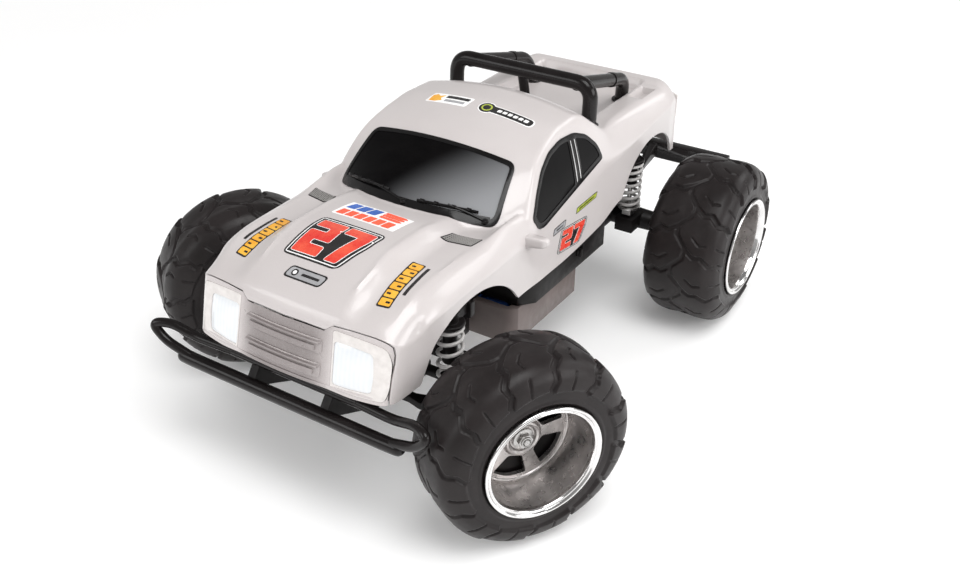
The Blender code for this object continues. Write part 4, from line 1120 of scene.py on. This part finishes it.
def build_barrel(name, body, transform, inboard, replaced):
    """Deep rim barrel with a satin bore and a bright stepped lip."""
    back = -27.4 * inboard
    lip = [(back, 34.0), (back, 31.6), (-2, 31.0), (0.6, 30.6), (4.9, 30.4), (5.9, 30.5), (8, 30.5),
           (20, 30.9), (26.5, 31.2), (28.6, 31.7), (29.5, 32.2), (29.7, 32.8), (29.2, 33.3), (29.9, 33.8),
           (30.6, 34.5), (30.7, 35.2), (30.2, 35.8), (29.2, 36.0), (28.4, 35.4), (27.6, 34.2), (25.8, 34.0)]
    mesh = mesh_of(name, *turned(smooth_profile(lip[:-1], 0.6, 3) + [lip[-1]], 128, closed=True), 60)
    for look in ("satin", "chrome"):
        mesh.materials.append(LOOKS[look])
    for polygon in mesh.polygons:
        polygon.material_index = int(polygon.center.x > 26.8 * MM)
    mesh.transform(transform)
    place(name, mesh, "satin", body, replaced)


def build_disc(name, body, transform):
    """Five-spoke disc with a raised edge and centre, cut through by its windows."""
    profile = [(1.2, 0.5), (1.2, 30.8), (4.4, 30.8), (5.0, 29.6), (5.3, 28.9), (5.0, 28.2), (4.3, 27.7),
               (4.3, 12.2), (4.9, 11.4), (6.2, 10.6), (6.6, 9.6), (6.0, 8.4), (4.6, 7.6), (4.6, 0.5)]
    corners = [(13.4, -0.36), (26.2, -0.44), (27.0, 0.0), (26.2, 0.44), (13.4, 0.36)]
    window = [(r * math.cos(a), r * math.sin(a)) for r, a in corners]
    window = soft_outline(window, [1.6, 1.8, 6.0, 1.8, 1.6], 5)
    windows = [prism(rotated(window, math.tau * (i + 0.5) / 5), "X", -1, 9) for i in range(5)]
    mesh = carved(mesh_of(name, *turned(profile, 120, closed=True), 30), windows)
    cleaned(mesh, 30, drop_slivers)
    mesh.transform(transform)
    bevelled(place(name, mesh, "satin", body), 0.45, 3, 50)


def build_rim(wheel, body, nut_body, transform, inboard):
    name = f"{wheel}_wheel_rim"
    build_barrel(f"{name}_barrel", body, transform, inboard, f"{wheel}_rim")
    build_disc(f"{name}_disc", body, transform)
    backing = turned([(-2.2, 9.5), (-2.2, 30.9), (-0.6, 30.7), (-0.6, 9.5)], 96, closed=True)
    build(f"{name}_backing", backing, "black", body, sharp=40, transform=transform)
    nut = [turned([(4.6, 0), (4.6, 6.6), (6.4, 6.4), (6.6, 6.0), (6.6, 0)], 40),
           prism(circle(4.5, 6), "X", 6.4, 9.2),
           turned([(9.0, 0), (9.0, 3.4), (9.9, 3.0), (10.0, 2.4), (9.2, 2.2), (9.2, 0)], 32),
           turned([(9.2, 0), (9.2, 2.0), (10.2, 2.0), (10.6, 1.7), (10.6, 0)], 24)]
    build(f"{name}_nut", joined(nut), "steel", nut_body, f"{wheel}_hub_nut", transform=transform)


def build_wheels():
    turn = Matrix.Rotation(-STEER_AT_REST, 4, "Z")
    for side, word in SIDES:
        kingpin = Vector((KINGPIN_X * side, FRONT_AXLE_Y, AXLE_Z))
        front = kingpin + turn.to_3x3() @ Vector((KINGPIN_OFFSET * side, 0, 0))
        rear = Vector((REAR_TRACK_HALF * side, REAR_AXLE_Y, AXLE_Z))
        flip = Matrix.Identity(4) if side > 0 else Matrix.Rotation(math.pi, 4, "Z")
        for wheel, centre, rotation, body, nut_body, inboard in (
                (f"front_{word}", front, turn, f"front_{word}_wheel", f"{word}_knuckle", 0.82),
                (f"rear_{word}", rear, Matrix.Identity(4), "rear_drive", "rear_drive", 1.0)):
            transform = Matrix.Translation(centre * MM) @ rotation @ flip
            build_tyre(f"{wheel}_tread", body, transform, inboard, f"{wheel}_tyre")
            build_rim(wheel, body, nut_body, transform, inboard)


# ---------------------------------------------------------------- bars, dampers and springs

def ball_ended(path, radius, sides=18):
    """Round bar along a path, with domed ends."""
    path = np.array(path, float)
    steps = np.linspace(0, math.pi / 2, 5)[1:]
    first, last = unit(path[0] - path[1]), unit(path[-1] - path[-2])
    reach, size = radius * np.sin(steps)[:, None], np.maximum(np.cos(steps), 0.04)
    line = np.concatenate([(path[0] + first * reach)[::-1], path, path[-1] + last * reach])
    sizes = np.concatenate([size[::-1], np.ones(len(path)), size])
    side, up = (np.pad(a, ((4, 4), (0, 0)), "edge") for a in frames_along(path))
    ring = circle(radius, sides)
    spokes = side[:, None] * ring[None, :, :1] + up[:, None] * ring[None, :, 1:]
    points = line[:, None] + spokes * sizes[:, None, None]
    return points.reshape(-1, 3), tube_faces(len(line), sides)


def build_front_bumper():
    low_bar = rounded([(-79, -204.2, 68.6), (-70, -204, 68), (70, -204, 68), (79, -204.2, 68.6)], 8)
    tubes = [ball_ended(low_bar, 4.3), ball_ended([(-50, -196, 80), (50, -196, 80)], 3.0)]
    loop = rounded([(70, -203.6, 68.6), (92, -206, 76), (101, -206.8, 86), (90, -202, 87), (72, -198, 80.5),
                    (44, -196, 80)], 6.5, 10)
    tubes += [ball_ended(np.array(loop) * (side, 1, 1), 2.9) for side, _ in SIDES]
    build("bumper_tubes", joined(tubes), "tube", replaced="front_bumper")
    stay = soft_outline([(-205, 68), (-196, 80), (-172, 76), (-149, 58), (-149, 46), (-158, 46)], 1.5, 3)
    screw, screw_faces = turned([(30.0, 0), (30.0, 2.4), (31.2, 2.1), (31.4, 1.6), (31.4, 0)], 20)
    plates = []
    for side, _ in SIDES:
        plates.append(prism(stay, "X", *sorted((24.0 * side, 30.0 * side))))
        plates += [(screw * (side, 1, 1) + (0, y, z), screw_faces) for y, z in ((-176, 69), (-155, 51))]
    plates.append(prism(band(29, 46.5, 57), "Y", -157, -150.4))
    bevelled(build("bumper_stays", joined(plates), "black"), 0.4)


def foot_disc(x, y, radius, thick=1.7):
    """Round foot plate lying on the body's skin, with a rolled edge."""
    centre = top_point(x, y)
    normal = top_point(x, y, 1.0) - centre
    side = unit(np.cross(normal, (0, 1.0, 0)))
    ring = circle(1.0, 36)
    spokes = side * ring[:, :1] + np.cross(side, normal) * ring[:, 1:]
    profile = [(0.02, 0.0), (radius, 0.0), (radius, thick * 0.5), (radius - 0.5, thick * 0.9),
               (radius - 1.2, thick), (0.02, thick)]
    points = [centre + normal * h + spokes * r for r, h in profile]
    return np.concatenate(points), tube_faces(len(profile), len(ring))


def build_roll_bar():
    y, top = 51.0, 187.2
    foot = float(top_height(53, y - 1)) - 0.5
    bed = float(top_height(37.5, 132)) - 0.3
    hoop = rounded([(-53, y - 1, foot), (-53, y, top), (53, y, top), (53, y - 1, foot)], 12, 12)
    brace = np.array(rounded([(42, y, 186), (40.5, 127, 166.5), (37.5, 132, bed)], 10, 12))
    collar = np.array([(41.0, 104.0, 172.4), (40.9, 108.0, 171.4)])
    parts = [rod(hoop, 5.1, 24)]
    for side, _ in SIDES:
        parts += [rod(brace * (side, 1, 1), 4.8, 22), foot_disc(37.5 * side, 132, 7.0),
                  foot_disc(53 * side, y - 1, 7.2, 1.5), rod(collar * (side, 1, 1), 5.3, 22)]
    post_foot = float(top_height(0, y + 6)) - 0.5
    parts += [rod([(0, y, 186), (0, y + 6, post_foot)], 3.4, 20), foot_disc(0, y + 6, 7.2, 2.4)]
    build("roll_hoop", joined(parts), "tube", replaced="roll_bar", sharp=40)


def build_damper(word, x, y, seat, collar, top, lug_y, rod_body):
    """Damper can, rod and coil between the heights of spring seat, collar and top."""
    bottom = seat + 0.5 * (collar - seat)
    can = [(bottom, 2.2), (bottom, 4.2), (bottom + 0.6, 4.7), (bottom + 3, 4.7), (bottom + 3.4, 4.3),
           (collar - 2, 4.3), (collar - 1.4, 5.2), (collar - 0.2, 5.6), (collar, 8.3), (collar + 0.5, 8.7),
           (collar + 1.8, 8.7), (collar + 2.3, 8.2), (collar + 2.4, 5.0), (top - 2.2, 5.0), (top - 1.6, 5.4),
           (top - 0.5, 5.4), (top, 4.9), (top, 0.05), (bottom + 4, 0.05), (bottom + 4, 2.2)]
    low_y, high_y = sorted((y, lug_y))
    lug = prism(band(4, low_y, high_y) + np.array((x, 0)), "Z", collar + 2.6, top - 0.3)
    parts = [moved(turned(can, 48, "Z", True), (x, y, 0)), lug]
    bevelled(build(f"{word}_damper_can", joined(parts), "black", replaced=f"{word}_shock_body"), 0.25)
    shaft = [(seat - 2, 0.05), (seat - 2, 8.2), (seat - 1.6, 8.6), (seat - 0.4, 8.6), (seat, 8.2),
             (seat, 5.2), (seat + 1.6, 4.9), (seat + 2, 1.7), (bottom + 9.5, 1.7), (bottom + 9.5, 0.05)]
    block = prism(band(3.5, -3.5, 3.5) + np.array((x, y)), "Z", seat - 8, seat - 1.8)
    parts = [moved(turned(shaft, 40, "Z", True), (x, y, 0)), block]
    piece = build(f"{word}_damper_rod", joined(parts), "steel", rod_body, f"{word}_shock_rod")
    bevelled(piece, 0.25)
    build_coil(word, x, y, seat + 1.1, collar - 1.1)


COIL_TURNS = 7.5
COIL_RADIUS = 7.2
COIL_WIRE = 1.15


def build_coil(word, x, y, low, high):
    """Spring with flatter end turns, stretched between can and rod."""
    t = np.linspace(0, 1, 260)
    ends = np.minimum(t / 0.1, 1) + np.clip((t - 0.9) / 0.1, 0, 1)
    height = low + (high - low) * (0.035 * ends + 0.93 * np.clip((t - 0.10) / 0.80, 0, 1))
    angle = math.tau * COIL_TURNS * t
    path = np.stack([x + COIL_RADIUS * np.cos(angle), y + COIL_RADIUS * np.sin(angle), height], axis=1)
    coil = workpiece(f"{word}_coil", mesh_of(f"{word}_coil", *rod(path, COIL_WIRE, 12, UP), 60))
    coil.data.materials.append(LOOKS["spring"])
    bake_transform(coil)
    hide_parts(f"{word}_spring")


def build_dampers():
    for side, word in SIDES:
        build_damper(f"front_{word}", 70 * side, -141, 60, 110, 119, -129.8, f"front_{word}_shock_rod")
        build_damper(f"rear_{word}", 60 * side, 112, 77, 112, 122, 102.8, f"rear_{word}_shock_rod")


# ---------------------------------------------------------------- printed decals

DIGITS = {
    2: [(0, 16), (10, 16), (10, 6.1), (4.1, 6.1), (4.1, 4), (10, 4), (10, 0), (0, 0), (0, 9.9), (5.9, 9.9),
        (5.9, 12), (0, 12)],
    7: [(0, 16), (10, 16), (10, 11.6), (6.4, 0), (1.9, 0), (5.6, 12), (0, 12)],
}
RING = circle(1.0, 32)


def laid(points, centre, size=1.0, turn=0.0, slant=0.0, flip=1):
    """Flat outline scaled, slanted, turned by degrees, turned round with flip -1, and moved."""
    points = np.asarray(points, float) * size
    points = points + np.stack([points[:, 1] * slant, np.zeros(len(points))], axis=1)
    return rotated(points, math.radians(turn)) * (flip, 1) + centre


def panel(x, y, centre=(0, 0)):
    """Rectangle about a centre, x wide and y high."""
    return np.array(band(x / 2, -y / 2, y / 2)) + centre


def decal(name, layers, on=top_point):
    """One printed sheet: each layer is (ink, outline), laid a hair above the one before."""
    inks = list(dict.fromkeys(ink for ink, _ in layers))
    plates = [draped(outline, on, -0.25, 0.07 + 0.035 * k) for k, (_, outline) in enumerate(layers)]
    points, faces = joined(plates)
    mesh = bpy.data.meshes.new(name)
    mesh.from_pydata((np.array(points) * MM).tolist(), [], faces)
    for ink in inks:
        mesh.materials.append(LOOKS[ink])
    slots = [inks.index(ink) for (ink, _), plate in zip(layers, plates) for _ in plate[1]]
    for polygon, slot in zip(mesh.polygons, slots):
        polygon.material_index = slot
    place(name, cleaned(mesh, 40, face_outwards), "ink")


def number_layers(centre, size, stretch, turn, slant, flip=1):
    """Race number 27: solid red digits with a white line and a black edge round them."""
    def printed(ink, outline):
        return ink, laid(outline * (stretch, 1.0), centre, size, turn, slant, flip)
    backing = [(-13.9, -11.2), (10.3, -11.2), (14.4, 2.4), (14.4, 11.2), (-13.9, 11.2)]
    layers = [printed(ink, grown(soft_outline(backing, radius, 4), -inset))
              for ink, inset, radius in (("ink", 0.0, 2.6), ("white", 0.8, 2.1), ("ink", 1.25, 1.7))]
    for digit, left in ((2, -11.6), (7, 0.9)):
        shape = (np.array(DIGITS[digit]) + (0, -8)) * 1.12 + (left, 0)
        layers.append(printed("white", grown(soft_outline(shape, 0.9, 3), 0.25)))
        layers.append(printed("red", soft_outline(shape, 0.7, 3)))
    return layers


def patches(centre, turn, slant, *rows, flip=1):
    """Layers of a sheet; each row is an ink, corners, their radius and, if given, arc steps."""
    return [(ink, soft_outline(laid(corners, centre, 1.0, turn, slant, flip), *rounding))
            for ink, corners, *rounding in rows]


def tile(left, width, low, high, lean):
    """Corners of a tile whose top leans over to the right."""
    return [(left, low), (left + width, low), (left + width + lean, high), (left + lean, high)]


def hood_decals():
    decal("hood_number", number_layers((-1, -152.5), 1.62, 1.0, 0, 0.06))
    rows = [("white", panel(45, 18.5), 1.2)]
    rows += [("blue", tile(-20.5 + 7.5 * k, 6.4, 0.6, 8.0, 1.2), 0.8) for k in range(3)]
    rows += [("scarlet", tile(-20.5 + 6.6 * k, 5.4, -8.0, -1.6, 0.8), 0.7) for k in range(6)]
    for low in (0.4, 3.2, 6.0):
        stripe = [(4.4, low), (17.6, low), (19.8, low + 1.0), (17.6, low + 2.0), (4.4, low + 2.0)]
        rows.append(("scarlet", stripe, 0.4))
    decal("hood_stripes", patches((0.5, -118.6), 0, 0.12, *rows))
    plate = patches((1, -180), 0, 0.2, ("ink", panel(26, 8), 2.6), ("slate", panel(24, 6), 2.0))
    plate += [("ink", laid(RING, (-6.5, -180), 2.2)), ("white", laid(RING, (-6.5, -180), 1.2))]
    decal("nose_badge", plate + patches((4.5, -180), 0, 0.2, ("ink", panel(12, 1.6), 0.5)))
    for side, word in SIDES:
        rows = [("ink", panel(8.6, 41), 1.6)]
        for k in range(6):
            z = -16.4 + 6.56 * k
            rows.append(("orange", panel(7.0, 5.6, (0, z)), 0.9, 3))
            rows.append(("ink", panel(2.6, 1.5, (-1.4 if k % 2 else 1.4, z)), 0.4, 2))
        decal(f"fender_strip_{word}", patches((49.6 * side, -158.5), 4 * side, 0, *rows))
        line = ("ink", panel(2.0, 27), 0.5)
        decal(f"fender_line_{word}", patches((56.4 * side, -153), 4 * side, 0, line))


def roof_decals():
    flame = [(-4.4, -4.0), (0.4, -4.2), (4.6, -2.4), (2.6, -0.4), (4.4, 3.8), (0.6, 2.0), (-1.8, 4.2),
             (-4.6, 2.2)]
    decal("roof_emblem", [
        *patches((-17.5, -11), 0, 0.12, ("white", panel(31, 11), 1.6)),
        ("orange", soft_outline(laid(flame, (-27, -11), 1.05), 0.8)),
        *patches((-12.2, -8.7), 0, 0.12, ("ink", panel(17.5, 3.1), 0.6, 3)),
        *patches((-12.6, -13.2), 0, 0.12, ("slate", panel(15, 2.5), 0.5, 3))])
    disc = (11.0, -11)
    pill = [*patches((28.5, -11), 0, 0, ("white", panel(34, 8.2), 3.6)), ("white", laid(RING, disc, 6.0)),
            *patches((28.0, -11), 0, 0, ("ink", panel(33, 6.8), 3.1))]
    pill += [(ink, laid(RING, disc, size)) for ink, size in (("ink", 5.3), ("lime", 3.7), ("ink", 2.6))]
    for k in range(6):
        pill += patches((20.5 + 3.9 * k, -11), 0, 0.2, ("white", panel(2.7, 2.5), 0.5, 2))
    decal("roof_pill", pill)


def door_decals(side, word):
    """Drawings on a door; on the right they are turned round, so that they read from outside."""
    on = side_point(side)
    decal(f"door_number_{word}", number_layers((-2.0, 105.0), 0.76, 1.8, -9, 0.15, side), on)
    sign = (("ink", panel(17, 5), 1.4), ("slate", panel(15.4, 3.6), 1.0), ("ink", panel(9, 0.9), 0.3, 3))
    decal(f"door_sign_{word}", patches((-21, 118.6), 0, 0.25, *sign, flip=side), on)
    strip = (("ink", panel(30, 4.2), 0.9), ("lime", panel(28.6, 3.0), 0.6), ("ink", panel(22, 1.0), 0.3, 3))
    decal(f"door_strip_{word}", patches((17.5, 120.4), 0, 0.3, *strip, flip=side), on)


# ---------------------------------------------------------------- parts kept from the frame

# Edge width and look of each
KEPT = {
    "chassis_frame": (0.7, "black"), "battery_box": (0.7, "belly"), "battery_door": (0.5, "belly"),
    "battery_pack": (0.8, "pack"), "circuit_board": (0.15, "board"), "steering_servo": (0.5, "black"),
    "front_bulkhead": (0.6, "black"), "rear_shock_tower": (0.6, "black"), "rear_bumper": (1.8, "tube"),
    "tail_lamp_left": (0.3, "milky"), "tail_lamp_right": (0.3, "milky"), "power_switch": (0.4, "black"),
    "servo_horn": (0.3, "grey"), "steering_bar": (0.5, "black"), "rear_axle_housing": (0.8, "black"),
    # The drive gear takes the milky lens look, so it glows faintly though it is no lamp.
    "drive_motor": (0.5, "steel"), "axle_shaft": (0.2, "steel"), "drive_gear": (0.1, "milky"),
    "motor_pinion": (0.1, "brass"),
}
FRONT_LINKS = ("lower_arm", "upper_arm", "hub_carrier", "knuckle")


def finish_kept_nodes():
    links = {f"{word}_{part}": (0.4, "black") for _, word in SIDES for part in FRONT_LINKS}
    for name, (width, look) in {**KEPT, **links}.items():
        softened(name, width, look)


# ---------------------------------------------------------------- camera, floor and light

# Place, width and height in metres, and power in watts of each soft light
LIGHTS = {
    "key": ((0.55, -0.35, 1.5), (0.9, 0.9), 13), "front": ((-0.9, -1.4, 0.9), (1.0, 0.7), 6),
    "side": ((1.5, 0.2, 0.7), (1.2, 0.6), 9.5), "back": ((0.9, 1.4, 1.1), (1.0, 0.6), 5),
}
LIGHTS_AIM = Vector((0, 0, 0.1))
CAMERA_PLACE = (0.35376, -0.55710, 0.43548)
CAMERA_FORWARD = (-0.45889353, 0.72278774, -0.51671521)
CAMERA_ROLL = math.radians(0.57)
CAMERA_LENS = 40.286


def build_stage():
    floor = workpiece("studio_floor", bpy.data.meshes.new("studio_floor"))
    bm = bmesh.new()
    bmesh.ops.create_grid(bm, x_segments=12, y_segments=12, size=6.0)
    bm.to_mesh(floor.data)
    bm.free()
    floor.data.materials.append(studio_floor())


def build_light():
    """White surroundings, paler below and dimmed in reflections, and four soft lights."""
    scene = bpy.context.scene
    scene.view_settings.view_transform = "Standard"
    scene.world = bpy.data.worlds.new("studio")
    scene.world.use_nodes = True
    tree = scene.world.node_tree

    def ramp(value, **ends):
        spots = {key.replace("_", " ").title(): end for key, end in ends.items()}
        return add_node(tree, "ShaderNodeMapRange", {"Value": value, **spots}).outputs["Result"]
    way = add_node(tree, "ShaderNodeTexCoord").outputs["Generated"]
    height = add_node(tree, "ShaderNodeSeparateXYZ", {"Vector": way}).outputs["Z"]
    glossy = add_node(tree, "ShaderNodeLightPath").outputs["Is Glossy Ray"]
    bright = ramp(height, from_min=0.1, from_max=0.7, to_min=1.05, to_max=0.55)
    dim = ramp(glossy, to_min=1.0, to_max=0.42)
    strength = add_node(tree, "ShaderNodeMath", {0: bright, 1: dim}, operation="MULTIPLY").outputs[0]
    sky = tree.nodes["Background"]
    fill(tree, sky.inputs["Strength"], strength)
    fill(tree, sky.inputs["Color"], (1.0, 0.995, 0.99))
    for name, (spot, size, power) in LIGHTS.items():
        data = bpy.data.lights.new(name, "AREA")
        data.shape = "RECTANGLE"
        data.size, data.size_y = size
        data.energy = power
        light = workpiece(name, data)
        light.location = spot
        light.rotation_mode = "QUATERNION"
        light.rotation_quaternion = (LIGHTS_AIM - Vector(spot)).to_track_quat("-Z", "Y")


def build_camera():
    forward = Vector(CAMERA_FORWARD).normalized()
    flat_right = forward.cross(Vector((0, 0, 1))).normalized()
    flat_up = flat_right.cross(forward)
    right = flat_right * math.cos(CAMERA_ROLL) + flat_up * math.sin(CAMERA_ROLL)
    up = flat_up * math.cos(CAMERA_ROLL) - flat_right * math.sin(CAMERA_ROLL)
    camera = workpiece("camera", bpy.data.cameras.new("camera"))
    camera.data.sensor_width = 36.0
    camera.data.lens = CAMERA_LENS
    camera.data.clip_start = 0.01
    turn = Matrix((right, up, -forward)).transposed().to_4x4()
    camera.matrix_world = Matrix.Translation(CAMERA_PLACE) @ turn
    bpy.context.scene.camera = camera


build_camera()
build_stage()
build_light()
build_shell()
build_windows()
build_nose()
build_vents()
build_wheels()
build_front_bumper()
build_roll_bar()
build_dampers()
hood_decals()
roof_decals()
for door_side, door_word in SIDES:
    door_decals(door_side, door_word)
finish_kept_nodes()
